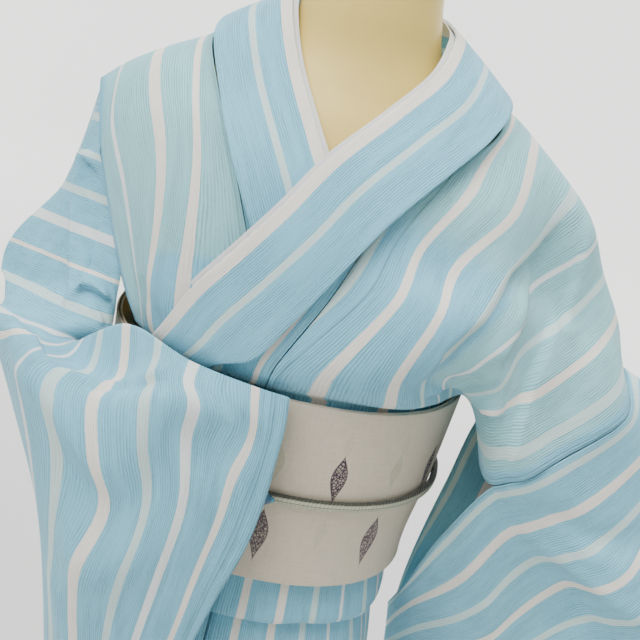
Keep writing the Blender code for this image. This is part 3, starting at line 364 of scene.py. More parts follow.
# The plain dress form: rings from the hidden lower end to the top of the neck
Ring = namedtuple("Ring", "z centre_x half_width front back")
FORM = named(Ring, (
    (.86, .0017, .093, .074, .076),
    (.88, .0017, .101, .08, .082),
    (.93, .0017, .1023, .08, .082),
    (1.000, .0017, .1003, .079, .08),
    (1.1, .000, .108, .09, .084),
    (1.18, .000, .128, .096, .088),
    (1.24, .000, .147, .088, .082),
    (1.275, .000, .143, .079, .072),
    (1.3, .000, .118, .068, .062),
    (1.325, .000, .084, .055, .054),
    (1.345, .000, .062, .048, .05),
    (1.38, -.002, .051, .046, .048),
    (1.42, -.004, .048, .045, .047),
    (1.462, -.006, .05, .047, .049),
    (1.47, -.006, .046, .043, .045),
))

# Back of the belt: the drum's section and the cord's way round
DRUM_SECTION = (
    (.1178, .97), (.1234, 1.08), (.1272, 1.185), (.137, 1.206), (.162, 1.212),
    (.19, 1.2), (.204, 1.16), (.209, 1.08), (.205, 1.000), (.193, .958),
    (.165, .946), (.135, .95),
)
DRUM_HALF = .108
TAIL_HALF = .113
TAIL_Y = .1269
TAIL_Z = (.985, 1.1)
CORD_BACK = ((.14, .045), (.132, .1), (.121, .136), (.102, .1495), (.05, .151))
CLASP_CENTRE_X = -.001
CLASP_HALF_LENGTH = .02
CLASP_HALF_HEIGHT = .0095


def weights(knots: Sequence[float], values: Sequence[float]) -> Array:
    """Blend weights of a smooth curve through uneven knots.

    Args:
        knots: rising places of the given points.
        values: places asked for.

    Returns:
        One row of weights for each value.
    """
    knots = np.asarray(knots, float)
    values = np.atleast_1d(np.asarray(values, float))
    count = len(knots)
    own = np.eye(count)
    gaps = np.diff(knots)
    chords = np.diff(own, axis=0) / gaps[:, None]
    slopes = np.zeros((count, count))
    slopes[0] = chords[0]
    slopes[-1] = chords[-1]
    for i in range(1, count - 1):
        share = gaps[i - 1] / (gaps[i - 1] + gaps[i])
        slopes[i] = (1 - share) * chords[i - 1] + share * chords[i]
    if count > 2:
        slopes[0] = 1.5 * chords[0] - 0.5 * slopes[1]
        slopes[-1] = 1.5 * chords[-1] - 0.5 * slopes[-2]
    cell = np.clip(np.searchsorted(knots, values) - 1, 0, count - 2)
    h = gaps[cell][:, None]
    t = ((values - knots[cell]) / gaps[cell])[:, None]
    return ((2 * t**3 - 3 * t**2 + 1) * own[cell]
            + (t**3 - 2 * t**2 + t) * h * slopes[cell]
            + (3 * t**2 - 2 * t**3) * own[cell + 1]
            + (t**3 - t**2) * h * slopes[cell + 1])


def curve(knots: Sequence[float], points: Sequence, values: Sequence[float]) -> Array:
    """Points of a smooth curve at the asked values."""
    return weights(knots, values) @ np.asarray(points, float)


def smooth(value: Array, low: float, high: float) -> Array:
    """Soft step from 0 at low to 1 at high."""
    t = np.clip((np.asarray(value, float) - low) / (high - low), 0.0, 1.0)
    return t * t * (3 - 2 * t)


def unit(vectors: Array) -> Array:
    """Vectors of length 1, the same way round, along the last axis."""
    return vectors / np.maximum(np.linalg.norm(vectors, axis=-1), 1e-12)[..., None]


def sheet_point(knots: tuple, net: Array, across: Array, down: Array) -> Array:
    """Points of a smooth sheet through a coarse net.

    Args:
        knots: the net's across values and its stations.
        net: (across, station, 3).
        across: cloth distances asked for.
        down: stations asked for.

    Returns:
        One point for each pair.
    """
    return np.einsum("ki,kj,ijc->kc", weights(knots[0], across), weights(knots[1], down), net)


def oval(angle: Array, half: Array, front: Array, back: Array,
         power: float) -> tuple[Array, Array]:
    """Rounded ring seen from above.

    Args:
        angle: radians from the front centre towards the wearer's left.
        half: half width.
        front: depth in front.
        back: depth behind.
        power: 2 for an ellipse, more for a squarer ring.

    Returns:
        x and y.
    """
    side, ahead = np.sin(angle), np.cos(angle)
    depth = np.where(ahead >= 0, front, back)
    x = half * np.sign(side) * np.abs(side) ** (2.0 / power)
    return x, -depth * np.sign(ahead) * np.abs(ahead) ** (2.0 / power)


def spread(start: float, end: float, step: float) -> Array:
    """Even values from start to end, no further apart than step."""
    return np.linspace(start, end, max(2, int(math.ceil(abs(end - start) / step)) + 1))


def ring_point(z: Array, angle: Array, inset: Array) -> Array:
    """Points on the WAIST surface.

    Args:
        z: heights.
        angle: degrees from the front centre towards the wearer's left.
        inset: how far inside the surface.

    Returns:
        Points, in the shape of the arguments.
    """
    z, angle, inset = np.broadcast_arrays(np.atleast_1d(z), angle, inset)
    heights = [row.z for row in WAIST]
    rows = [(row.half_width, row.front, row.back) for row in WAIST]
    half, front, back = (curve(heights, rows, z.ravel()) - inset.ravel()[:, None]).T
    x, y = oval(np.radians(angle.ravel()), half, front, back, RING_POWER)
    return np.stack([x, y, z.ravel()], 1).reshape(z.shape + (3,))


def lengths(points: Array) -> Array:
    """Distance run along a line of points, from 0."""
    steps = np.linalg.norm(np.diff(points, axis=0), axis=1)
    return np.concatenate([[0.0], np.cumsum(steps)])


class Side:
    """One half of the bodice, from the tables."""

    def __init__(self, left: bool) -> None:
        self.left = left
        self.word = "left" if left else "right"
        self.sign = 1.0 if left else -1.0
        self.front = LEFT_FRONT if left else RIGHT_FRONT
        self.back = LEFT_BACK if left else RIGHT_BACK
        self.stations = LEFT_STATIONS if left else RIGHT_STATIONS
        self.front_angle = LEFT_BELT_ANGLE if left else RIGHT_BELT_ANGLE
        self.back_angle = LEFT_BACK_ANGLE if left else RIGHT_BACK_ANGLE
        self.inset = TUCK[0].left_inset if left else TUCK[0].right_inset
        self.front_end = self.stations[-1] + BELT_RUN
        self.back_end = BACK_END
        self.outer = self.front[-1].across
        self.across = [row.across for row in self.back]
        behind = [-self.back_end] + [-s for s in reversed(BACK_STATIONS)]
        self.knots = behind + list(self.stations) + [self.front_end]
        self.net = self.make_net()

    def make_net(self) -> Array:
        """Points by warp line and station, back and front together."""
        net = []
        for i, back in enumerate(self.back):
            belt_back = ring_point(BELT_RING_Z, self.back_angle[i], self.inset)[0]
            behind = [belt_back] + [np.array(p) for p in reversed(back[1:])]
            if i == 0:
                near, far = self.front[0], self.front[1]
                ahead = [2 * np.array(a) - np.array(b) for a, b in zip(near[1:], far[1:])]
                belt = ring_point(BELT_RING_Z, 2 * self.front_angle[0] - self.front_angle[1],
                                  self.inset)[0]
            else:
                ahead = [np.array(p) for p in self.front[i - 1][1:]]
                belt = ring_point(BELT_RING_Z, self.front_angle[i - 1], self.inset)[0]
            net.append(behind + ahead + [belt])
        return np.array(net)

    def point(self, across: Array, station: Array) -> Array:
        """Points of the bodice at cloth positions."""
        return sheet_point((self.across, self.knots), self.net, across, station)

    def row(self, inner: float, share: Array) -> Array:
        """Across values from an inner edge to the outer edge."""
        return inner + share * (self.outer - inner)

    def edge(self, station: Array, tuck: float) -> Array:
        """Outer edge of the bodice, moved inside it by tuck."""
        outer = np.full(len(station), self.outer)
        edge = self.point(outer, station)
        along = self.point(outer, station + 0.004) - self.point(outer, station - 0.004)
        normal = unit(np.cross(along, edge - self.point(outer - 0.006, station)))
        home = np.array([0.0, 0.0, BELT_RING_Z]) - edge
        normal *= np.sign(np.sum(normal * home, axis=1))[:, None]
        return edge + normal * tuck

    def inner(self, station: float) -> float:
        """Across value of the panel's inner edge: centre back, neckline, then the front."""
        if station >= 0:
            return NECK_EDGE
        return float(np.interp(-station, [n.behind for n in NECKLINE],
                               [n.across for n in NECKLINE]))

    def tuck_path(self, step: float, low_step: float) -> tuple[Array, Array]:
        """Fine path under the belt, over the tuck and down to the hem.

        Args:
            step: spacing under the belt and over the tuck.
            low_step: spacing down the skirt.

        Returns:
            (height, inset) pairs, and the distance run at each.
        """
        rows = []
        for i, fold in enumerate(TUCK):
            rise = RIGHT_TUCK_RISE if i in RAISED_FOLDS and not self.left else 0.0
            rows.append((fold.z + rise, fold.left_inset if self.left else fold.right_inset))
        rows = np.array(rows)
        run = lengths(rows)
        skirt = run[SKIRT_START]
        values = np.concatenate([spread(0.0, skirt, step)[:-1], spread(skirt, run[-1], low_step)])
        return curve(run, rows, values), values

    def lower(self, belt_angles: Array, low_angles: Array) -> tuple:
        """Grid rows below the bodice, and the distance run at each row."""
        path, run = self.tuck_path(TUCK_STEP, SKIRT_STEP)
        rows = []
        for z, inset in path:
            share = float(smooth(BELT_RING_Z - z, 0.0, BELT_SPREAD))
            angles = (1 - share) * belt_angles + share * low_angles
            rows.append(ring_point(np.full(len(angles), z), angles, inset))
        return rows, run


@dataclass
class Net:
    """Fine grid of cloth.

    Args:
        points: (rows, columns, 3).
        across: cloth distance across, (rows, columns).
        station: cloth distance along, (rows, columns).
        layers: 0 where one layer shows, 1 where more lie behind it; 1 all over if left out.
        closed: the last column joins the first.
    """

    points: Array
    across: Array
    station: Array
    layers: Optional[Array] = None
    closed: bool = False

    def normals(self) -> Array:
        """Unit normals, one at each point."""
        if self.closed:
            along = np.roll(self.points, -1, axis=1) - np.roll(self.points, 1, axis=1)
        else:
            along = np.gradient(self.points, axis=1)
        return unit(np.cross(np.gradient(self.points, axis=0), along))

    def sway(self, sways: Sequence["Sway"]) -> None:
        """Swing the stripes aside by all the shifts at once."""
        moves = [sway.at(self.across, self.station) for sway in sways]
        self.across = self.across + np.sum(moves, axis=0)

    def crease(self, creases: Sequence, outward: float) -> None:
        """Push soft troughs, ridges and fold edges into the cloth."""
        height = np.zeros(self.across.shape)
        for item in creases:
            height += item.height(self.across, self.station)
        self.points = self.points + self.normals() * (height * outward)[:, :, None]


@dataclass(frozen=True)
class Crease:
    """A soft trough or ridge drawn on the cloth.

    Args:
        start: (across, station) of one end, metres.
        end: (across, station) of the other end.
        width: how wide it is.
        depth: how far it stands proud, negative for a trough.
        bow: how far its middle is drawn sideways.
    """

    start: tuple[float, float]
    end: tuple[float, float]
    width: float
    depth: float
    bow: float = 0.0

    def height(self, across: Array, station: Array) -> Array:
        """Height of this crease at cloth positions."""
        start, end = np.array(self.start), np.array(self.end)
        run = end - start
        length = float(np.hypot(*run))
        forward = run / length
        sideways = np.array([-forward[1], forward[0]])
        da, ds = across - start[0], station - start[1]
        t = (da * forward[0] + ds * forward[1]) / length
        off = da * sideways[0] + ds * sideways[1]
        inside = np.clip(t, 0.0, 1.0)
        off = off - self.bow * 4 * inside * (1 - inside)
        beyond = np.abs(t - inside) * length
        fade = smooth(inside, 0.0, 0.25) * (1 - smooth(inside, 0.7, 1.0))
        reach = np.sqrt(off**2 + beyond**2) / self.width
        return self.depth * fade * np.exp(-(reach**2))


@dataclass(frozen=True)
class Lap:
    """A fold edge where cloth lies over cloth: high on one side, then level again.

    Args:
        line: (across, station) along the edge, its raised side on the left.
        rise: height of the edge.
        reach: how far back the raised side runs to level.
        edge: half width of the drop.
    """

    line: tuple[tuple[float, float], ...]
    rise: float
    reach: float
    edge: float = 0.0020

    def height(self, across: Array, station: Array) -> Array:
        """Height of this fold at cloth positions."""
        spots = np.array(self.line)
        run = lengths(spots)
        near = np.full(across.shape, 1e9)
        side, share = np.zeros(across.shape), np.zeros(across.shape)
        for i, step in enumerate(np.diff(spots, axis=0)):
            size = float(np.hypot(*step))
            da, ds = across - spots[i, 0], station - spots[i, 1]
            t = np.clip((da * step[0] + ds * step[1]) / size**2, 0.0, 1.0)
            gap = np.hypot(da - t * step[0], ds - t * step[1])
            closer = gap < near
            near = np.where(closer, gap, near)
            side = np.where(closer, np.sign(step[0] * ds - step[1] * da) * gap, side)
            share = np.where(closer, (run[i] + t * size) / run[-1], share)
        fade = smooth(share, 0.0, 0.18) * (1 - smooth(share, 0.82, 1.0))
        high = smooth(side, -self.edge, self.edge) * (1 - smooth(side, 0.0, self.reach))
        return self.rise * fade * high


@dataclass(frozen=True)
class Sway:
    """A place where the stripes swing aside from the straight warp.

    Args:
        across: middle of the swing across the cloth.
        station: middle of the swing along the cloth.
        shift: how far the stripes move there.
        wide: reach across the cloth.
        long: reach along the cloth.
    """

    across: float
    station: float
    shift: float
    wide: float
    long: float

    def at(self, across: Array, station: Array) -> Array:
        """Shift at cloth positions."""
        away = ((across - self.across) / self.wide) ** 2 + ((station - self.station) / self.long) ** 2
        return self.shift * np.exp(-away)


def activate(obj: bpy.types.Object) -> None:
    """Make one object the only selected and active one."""
    bpy.ops.object.select_all(action="DESELECT")
    obj.select_set(True)
    bpy.context.view_layer.objects.active = obj


def linked(name: str, data: bpy.types.ID) -> bpy.types.Object:
    """Object for some data, put into the scene."""
    obj = bpy.data.objects.new(name, data)
    bpy.context.scene.collection.objects.link(obj)
    return obj


def quads(rows: int, columns: int, closed: bool, looped: bool = False) -> Array:
    """Faces of a grid of points.

    Args:
        rows: of the grid.
        columns: of the grid.
        closed: the last column joins the first.
        looped: the last row joins the first.

    Returns:
        Four point indices for each face.
    """
    index = np.arange(rows * columns).reshape(rows, columns)
    if looped:
        index = np.vstack([index, index[:1]])
    after = np.roll(index, -1, axis=1)
    if not closed:
        index, after = index[:, :-1], after[:, :-1]
    return np.stack([index[:-1], after[:-1], after[1:], index[1:]], 2).reshape(-1, 4)


def fan(first: int, sides: int, tip: int, flip: bool = False) -> list[tuple[int, int, int]]:
    """Triangles from a ring of points to a tip."""
    faces = []
    for j in range(sides):
        near, far = first + j, first + (j + 1) % sides
        faces.append((far, near, tip) if flip else (near, far, tip))
    return faces


def mesh_object(name: str, points: Array, faces: Sequence[Sequence[int]],
                maps: dict[str, Array]) -> bpy.types.Object:
    """Object from points and faces.

    Args:
        name: the object's name.
        points: (count, 3).
        faces: point indices, one row a face.
        maps: "uv" holds (count, 2) in metres, anything else one number a point.

    Returns:
        The new object, smooth shaded.
    """
    data = bpy.data.meshes.new(name)
    data.from_pydata(points.tolist(), [], faces)
    corners = np.empty(len(data.loops), np.int32)
    data.loops.foreach_get("vertex_index", corners)
    for key, values in maps.items():
        if key == "uv":
            layer = data.uv_layers.new(name="cloth")
            layer.data.foreach_set("uv", values[corners].astype(np.float32).ravel())
        else:
            layer = data.attributes.new(key, "FLOAT", "POINT")
            layer.data.foreach_set("value", values.astype(np.float32))
    data.update()
    obj = linked(name, data)
    activate(obj)
    bpy.ops.object.shade_smooth()
    return obj


def cloth_object(name: str, net: Net) -> bpy.types.Object:
    """Single sheet through a net."""
    layers = np.ones(net.across.shape) if net.layers is None else net.layers
    maps = {"uv": np.stack([net.across.ravel(), net.station.ravel()], 1),
            "layers": layers.ravel()}
    faces = quads(*net.across.shape, net.closed).tolist()
    return mesh_object(name, net.points.reshape(-1, 3), faces, maps)


def apply_modifier(obj: bpy.types.Object, kind: str, **settings) -> None:
    """Add a modifier with its settings and apply it."""
    bpy.ops.object.modifier_add(type=kind)
    modifier = obj.modifiers[-1]
    for key, value in settings.items():
        setattr(modifier, key, value)
    bpy.ops.object.modifier_apply(modifier=modifier.name)


def thicken(obj: bpy.types.Object, thickness: float, rounding: float = 0.0) -> None:
    """Give a sheet its thickness, half to each side, and round its rims.

    Args:
        obj: the sheet.
        thickness: metres.
        rounding: bevel width on the rims, 0 for none.
    """
    activate(obj)
    apply_modifier(obj, "SOLIDIFY", thickness=thickness, offset=0.0, use_even_offset=False)
    if rounding:
        apply_modifier(obj, "BEVEL", width=rounding, segments=2, limit_method="ANGLE",
                       angle_limit=math.radians(50))
        bpy.ops.object.shade_smooth()


@dataclass(frozen=True)
class Streaks:
    """Noise drawn out over the cloth.

    Args:
        wide: cycles a metre across.
        long: cycles a metre along.
        seed: which pattern.
        detail: of the noise.
    """

    wide: float
    long: float
    seed: float = 0.0
    detail: float = 1.0


RIB_DRIFT = Streaks(60.0, 24.0, detail=2.0)
RIB_LINES = Streaks(980.0, 42.0)
RIB_SWELL = Streaks(130.0, 20.0, 3.0)
CREPE_GRAIN = Streaks(2600.0, 2600.0)
CREPE_CRINKLE = Streaks(300.0, 300.0, 7.0)
LONG_SLUB = Streaks(900.0, 70.0, detail=2.0)
WIDE_SLUB = Streaks(60.0, 1000.0, 5.0, 2.0)
STRIPE_FRAY = Streaks(1500.0, 260.0)
SILK_THREADS = Streaks(60.0, 2400.0, detail=2.0)
RIB_PITCH = 0.00168
RIB_WANDER = 0.0030
FRAY_REACH = 0.0006
PLAIT_PITCH = 0.0030


class Graph:
    """Short calls for building one node tree."""

    def __init__(self, tree: bpy.types.NodeTree) -> None:
        self.tree = tree

    def node(self, kind: str, **settings) -> bpy.types.Node:
        """New node with its settings."""
        node = self.tree.nodes.new(kind)
        for key, value in settings.items():
            setattr(node, key, value)
        return node

    def feed(self, value, target: bpy.types.NodeSocket) -> None:
        """Link a socket, or set a plain value."""
        if isinstance(value, bpy.types.NodeSocket):
            self.tree.links.new(value, target)
        else:
            target.default_value = value

    def feed_all(self, node: bpy.types.Node, values: dict) -> bpy.types.Node:
        """Feed a node's inputs by name."""
        for key, value in values.items():
            self.feed(value, node.inputs[key])
        return node

    def math(self, operation: str, *values, clamp: bool = False):
        """Result of one Math node."""
        node = self.node("ShaderNodeMath", operation=operation, use_clamp=clamp)
        for value, target in zip((*values, 0.0, 0.0), node.inputs):
            self.feed(value, target)
        return node.outputs[0]

    def times(self, a, b, plus=None):
        """a times b, and then plus something where asked."""
        if plus is None:
            return self.math("MULTIPLY", a, b)
        return self.math("MULTIPLY_ADD", a, b, plus)

    def plus(self, a, b):
        """a plus b."""
        return self.math("ADD", a, b)

    def less(self, a, b):
        """a less b."""
        return self.math("SUBTRACT", a, b)

    def over(self, a, b):
        """a divided by b."""
        return self.math("DIVIDE", a, b)

    def sine(self, a):
        """Sine of an angle in radians."""
        return self.math("SINE", a)

    def apart(self, a, b):
        """How far two numbers lie apart."""
        return self.math("ABSOLUTE", self.less(a, b))

    def mix(self, factor, a, b, blend: str = "MIX"):
        """Two colours mixed."""
        node = self.node("ShaderNodeMix", data_type="RGBA", blend_type=blend)
        for value, target in ((factor, 0), (a, 6), (b, 7)):
            self.feed(rgba(value), node.inputs[target])
        return node.outputs[2]

    def tint(self, colour, tone):
        """Colour made darker or lighter by a tone round 1."""
        return self.mix(1.0, colour, self.combine(tone, tone, tone), "MULTIPLY")

    def combine(self, x, y, z=0.0):
        """Vector from three values."""
        node = self.node("ShaderNodeCombineXYZ")
        for value, target in zip((x, y, z), node.inputs):
            self.feed(value, target)
        return node.outputs[0]

    def noise(self, vector, scale: float = 1.0, detail: float = 2.0, distortion: float = 0.0):
        """Soft noise from 0 to 1."""
        node = self.feed_all(self.node("ShaderNodeTexNoise"),
                             {"Vector": vector, "Scale": scale, "Detail": detail,
                              "Distortion": distortion})
        return node.outputs["Fac"]

    def streaks(self, across, along, kind: Streaks):
        """Noise drawn out over the cloth."""
        place = self.combine(self.times(across, kind.wide), self.times(along, kind.long),
                             kind.seed)
        return self.noise(place, detail=kind.detail)

    def place(self):
        """Place in the object's own space."""
        return self.node("ShaderNodeTexCoord").outputs["Object"]

    def split(self, vector):
        """The three values of a vector."""
        node = self.node("ShaderNodeSeparateXYZ")
        self.feed(vector, node.inputs[0])
        return node.outputs

    def span(self, value, low: float, high: float, to_low: float, to_high: float):
        """Value carried smoothly from one range to another."""
        node = self.node("ShaderNodeMapRange", interpolation_type="SMOOTHSTEP")
        for item, target in zip((value, low, high, to_low, to_high), node.inputs):
            self.feed(item, target)
        return node.outputs[0]

    def ramp(self, factor, stops: Sequence[tuple], mode: str):
        """Colour ramp; each stop is (place, RGBA)."""
        node = self.node("ShaderNodeValToRGB")
        ramp = node.color_ramp
        ramp.interpolation = mode
        while len(ramp.elements) < len(stops):
            ramp.elements.new(1.0)
        for element, (place, colour) in zip(ramp.elements, stops):
            element.position = place
        for element, (place, colour) in zip(ramp.elements, stops):
            element.color = colour
        self.feed(factor, node.inputs[0])
        return node.outputs

    def bump(self, height, strength: float, distance: float):
        """Normal from a height."""
        node = self.feed_all(self.node("ShaderNodeBump"),
                             {"Strength": strength, "Distance": distance, "Height": height})
        return node.outputs[0]

    def group(self, tree: bpy.types.NodeTree, **values) -> bpy.types.bpy_prop_collection:
        """Outputs of a shared group, fed by input name."""
        return self.feed_all(self.node("ShaderNodeGroup", node_tree=tree), values).outputs

    def cloth(self) -> tuple:
        """Across and station of the piece's own cloth."""
        return tuple(self.split(self.node("ShaderNodeUVMap", uv_map="cloth").outputs[0]))[:2]


def rgba(colour):
    """A colour with its alpha, or a socket as it is."""
    return (*colour, 1.0) if isinstance(colour, tuple) and len(colour) == 3 else colour


def plain_material(name: str) -> tuple:
    """New material, its graph and its shader."""
    mat = bpy.data.materials.new(name)
    mat.use_nodes = True
    return mat, Graph(mat.node_tree), mat.node_tree.nodes["Principled BSDF"]


def make_group(name: str, inputs: Sequence[str], outputs: Sequence[str],
               fill: Callable) -> bpy.types.NodeTree:
    """Shared node group with plain number sockets.

    Args:
        name: the group's name.
        inputs: names of its inputs.
        outputs: names of its outputs.
        fill: gets the graph and the input sockets by name, gives the outputs by name.

    Returns:
        The group.
    """
    tree = bpy.data.node_groups.new(name, "ShaderNodeTree")
    for way, items in (("INPUT", inputs), ("OUTPUT", outputs)):
        for item in items:
            tree.interface.new_socket(item, in_out=way, socket_type="NodeSocketFloat")
    graph = Graph(tree)
    entry = graph.node("NodeGroupInput")
    leave = graph.node("NodeGroupOutput")
    graph.feed_all(leave, fill(graph, {item: entry.outputs[item] for item in inputs}))
    return tree


class Effects:
    """Shared node groups, built once."""

    def __init__(self) -> None:
        self.ribs = make_group("crepe_ribs_and_painted_shade", ("Across", "Along"), ("Height", "Tone"),
                               self.fill_ribs_and_painted_shade)
        self.weave = make_group("plain_weave", ("Across", "Along", "Pitch", "Slub"),
                                ("Height", "Tone"), self.fill_weave)
        self.mottle = make_group("cloth_mottle", ("Amount",), ("Tone",), self.fill_mottle)
        self.fold = make_group("pressed_fold_and_painted_shade", ("Place", "Line"), ("Height", "Tone"),
                               self.fill_fold_and_painted_shade)
        self.leaves = make_group("leaf_row",
                                 ("Across", "Along", "Offset", "Pitch", "Level", "Size", "Lean"),
                                 ("Mask",), self.fill_leaves)

    @staticmethod
    def fill_ribs_and_painted_shade(g: Graph, s: dict) -> dict:
        """Uneven wavy ribs that run along the warp, with the weft's fine grain; Tone holds painted
        shade in their troughs and painted highlight on their ridges and raised crinkle.
        """
        across, along = s["Across"], s["Along"]
        place = g.times(g.streaks(across, along, RIB_DRIFT), RIB_WANDER, across)
        rib = g.streaks(place, along, RIB_LINES)
        wave = g.sine(g.times(rib, 4.2, g.times(place, 2 * math.pi / RIB_PITCH)))
        swell = g.streaks(across, along, RIB_SWELL)
        crinkle = g.streaks(across, along, CREPE_CRINKLE)
        ridge = g.times(wave, g.span(swell, 0.30, 0.62, 0.35, 1.0))
        height = g.times(ridge, 0.42, g.times(rib, 0.30))
        height = g.times(g.streaks(across, along, CREPE_GRAIN), 0.12, height)
        height = g.times(crinkle, 0.22, height)
        # Painted shade darkens the rib troughs; painted highlight lightens the ridges and the raised
        # crinkle, following the height.
        dark = g.span(ridge, -1.0, 0.05, 0.70, 1.0)
        light = g.span(ridge, 0.25, 0.95, 1.0, 1.05)
        tone = g.times(g.times(dark, light), g.span(crinkle, 0.3, 0.7, 0.975, 1.02))
        return {"Height": height, "Tone": tone}

    @staticmethod
    def fill_weave(g: Graph, s: dict) -> dict:
        """Over and under of a plain weave, with slubs along both threads; Tone also lightens the high
        crossings and darkens the low ones slightly, a painted highlight and shade.
        """
        across, along = s["Across"], s["Along"]
        turn = g.over(2 * math.pi, s["Pitch"])
        cross = g.times(g.sine(g.times(across, turn)), g.sine(g.times(along, turn)))
        slub = g.plus(g.streaks(across, along, LONG_SLUB), g.streaks(across, along, WIDE_SLUB))
        slub = g.times(g.less(slub, 1.0), s["Slub"])
        # Painted shade and highlight: the over-and-under tints Tone by 3 percent; the slubs are the
        # threads' own unevenness.
        return {"Height": g.times(slub, 1.6, g.times(cross, 0.5)),
                "Tone": g.times(slub, 0.55, g.times(cross, 0.03, 1.0))}

    @staticmethod
    def fill_mottle(g: Graph, s: dict) -> dict:
        """Slow drift of colour over the cloth, in the object's own space."""
        place = g.place()
        both = g.times(g.noise(place, 9.0), 0.65, g.times(g.noise(place, 55.0, 3.0), 0.35))
        return {"Tone": g.times(g.less(both, 0.5), s["Amount"], 1.0)}

    @staticmethod
    def fill_fold_and_painted_shade(g: Graph, s: dict) -> dict:
        """Pressed line of a turned hem or a seam beside Line: a groove, darkened with painted shade.
        """
        groove = g.span(g.apart(s["Place"], s["Line"]), 0.0002, 0.0013, 1.0, 0.0)
        return {"Height": g.times(groove, -1.0), "Tone": g.times(groove, -0.24, 1.0)}

    @staticmethod
    def fill_leaves(g: Graph, s: dict) -> dict:
        """Row of small spindle leaves woven as an open net."""
        run = g.over(g.less(s["Along"], s["Offset"]), s["Pitch"])
        cell = g.times(g.less(g.math("FRACT", run), 0.5), s["Pitch"])
        up = g.less(s["Across"], s["Level"])
        aside = g.less(cell, g.times(up, s["Lean"]))
        t = g.over(up, s["Size"])
        body = g.math("SUBTRACT", 1.0, g.times(t, t), clamp=True)
        half = g.times(g.times(g.math("POWER", body, 1.7), g.times(t, 0.35, 1.0)),
                       g.times(s["Size"], 0.27))
        inside = g.less(half, g.math("ABSOLUTE", aside))
        rim = g.span(g.apart(inside, 0.0004), 0.0001, 0.0008, 0.95, 0.0)
        net = g.node("ShaderNodeTexVoronoi", feature="DISTANCE_TO_EDGE")
        cells = g.combine(g.times(s["Along"], 560.0), g.times(s["Across"], 430.0))
        g.feed_all(net, {"Vector": cells, "Scale": 1.0})
        lace = g.span(net.outputs["Distance"], 0.05, 0.26, 1.0, 0.34)
        fill = g.times(g.span(inside, -0.0001, 0.0004, 0.0, 1.0), lace)
        mask = g.math("MAXIMUM", fill, rim)
        return {"Mask": g.times(mask, g.math("GREATER_THAN", body, 0.004))}


class Tone(Enum):
    """Woven stripe colours, linear RGB."""

    CREAM = (0.91, 0.85, 0.765)
    WHITE = (0.84, 0.88, 0.885)
    PALE = (0.60, 0.785, 0.765)


@dataclass(frozen=True)
class Stripe:
    """One warp stripe.

    Args:
        centre: distance across the cloth, metres.
        width: metres.
        tone: its colour.
    """

    centre: float
    width: float
    tone: Tone


CREAM, WHITE, PALE = Tone
BODY_STRIPES = {
    True: named(Stripe, ((-.078, .006, PALE), (-.05, .0078, CREAM), (-.021, .006, PALE),
        (.008, .0055, CREAM), (.037, .0078, CREAM), (.067, .006, PALE), (.096, .004, WHITE),
        (.125, .006, PALE), (.155, .006, CREAM), (.184, .008, PALE))),
    False: named(Stripe, ((-.078, .006, PALE), (-.048, .0078, CREAM), (-.018, .006, PALE),
        (.012, .0058, CREAM), (.041, .0078, CREAM), (.075, .004, WHITE))),
}
SLEEVE_STRIPES = {
    True: named(Stripe, ((.008, .005, PALE), (.038, .0078, CREAM), (.067, .006, PALE),
        (.096, .006, CREAM), (.125, .006, PALE), (.154, .0078, CREAM), (.183, .006, PALE),
        (.212, .006, CREAM), (.241, .004, WHITE), (.27, .0078, CREAM), (.3, .006, PALE))),
    False: named(Stripe, ((.012, .006, PALE), (.041, .0055, PALE), (.07, .006, PALE),
        (.098, .008, WHITE), (.125, .004, CREAM), (.153, .006, PALE), (.18, .0065, WHITE),
        (.205, .0055, CREAM), (.23, .006, WHITE), (.255, .006, PALE), (.281, .0075, CREAM),
        (.31, .006, PALE), (.338, .008, WHITE), (.375, .006, CREAM))),
}
OKUMI_STRIPES = {
    True: named(Stripe, ((.0085, .004, CREAM), (.036, .006, PALE), (.064, .0078, CREAM),
        (.092, .006, PALE))),
    False: named(Stripe, ((.009, .0078, CREAM), (.036, .006, PALE), (.064, .0078, CREAM),
        (.092, .006, PALE))),
}
COLLAR_STRIPES = named(Stripe, ((.0042, .0088, CREAM), (.03, .005, PALE)))

BODY_CREASES = {
    True: named(Lap, (
        (((.075, .015), (.066, .105), (.072, .165), (.062, .215), (.072, .265)), .006, .034, .003),
        (((.085, .06), (.097, .14), (.113, .19)), .0055, .022),
        (((.137, .085), (.11, .035), (.076, .005)), .003, .022),
        (((.198, .21), (.15, .145), (.112, .06)), .0068, .04, .003),
        (((.16, .18), (.15, .227), (.11, .255), (.072, .285)), .0072, .028),
    )) + named(Crease, (
        ((.06, .12), (0.0, .235), .016, -.0012), ((.18, .12), (.13, .06), .012, -.0016),
        ((.19, -.06), (.08, -.27), .016, -.0032, -.008),
        ((.15, -.1), (.03, -.29), .014, .0028, .006), ((.195, -.15), (.12, -.3), .01, -.0028),
        ((.06, .42), (.05, .9), .016, -.0022), ((.13, .4), (.14, 1.2), .02, .003, .01),
        ((.18, .42), (.17, 1.3), .018, -.003), ((.02, -.42), (.03, -1.1), .018, -.0026),
        ((.13, -.43), (.12, -1.3), .02, .003),
    )),
    False: named(Crease, (
        ((.088, .1), (.06, .215), .009, -.0014, -.004),
        ((.07, .165), (.015, .232), .008, -.0018, .004),
        ((.1, -.06), (.02, -.26), .014, -.003, .006), ((.06, -.11), (-.04, -.29), .012, .0026),
        ((.098, -.17), (.05, -.3), .01, -.0026), ((.05, .42), (.04, 1.1), .018, -.0026),
        ((.09, .45), (.095, 1.2), .016, .0028), ((0.0, -.43), (.01, -1.2), .02, -.003),
    )),
}
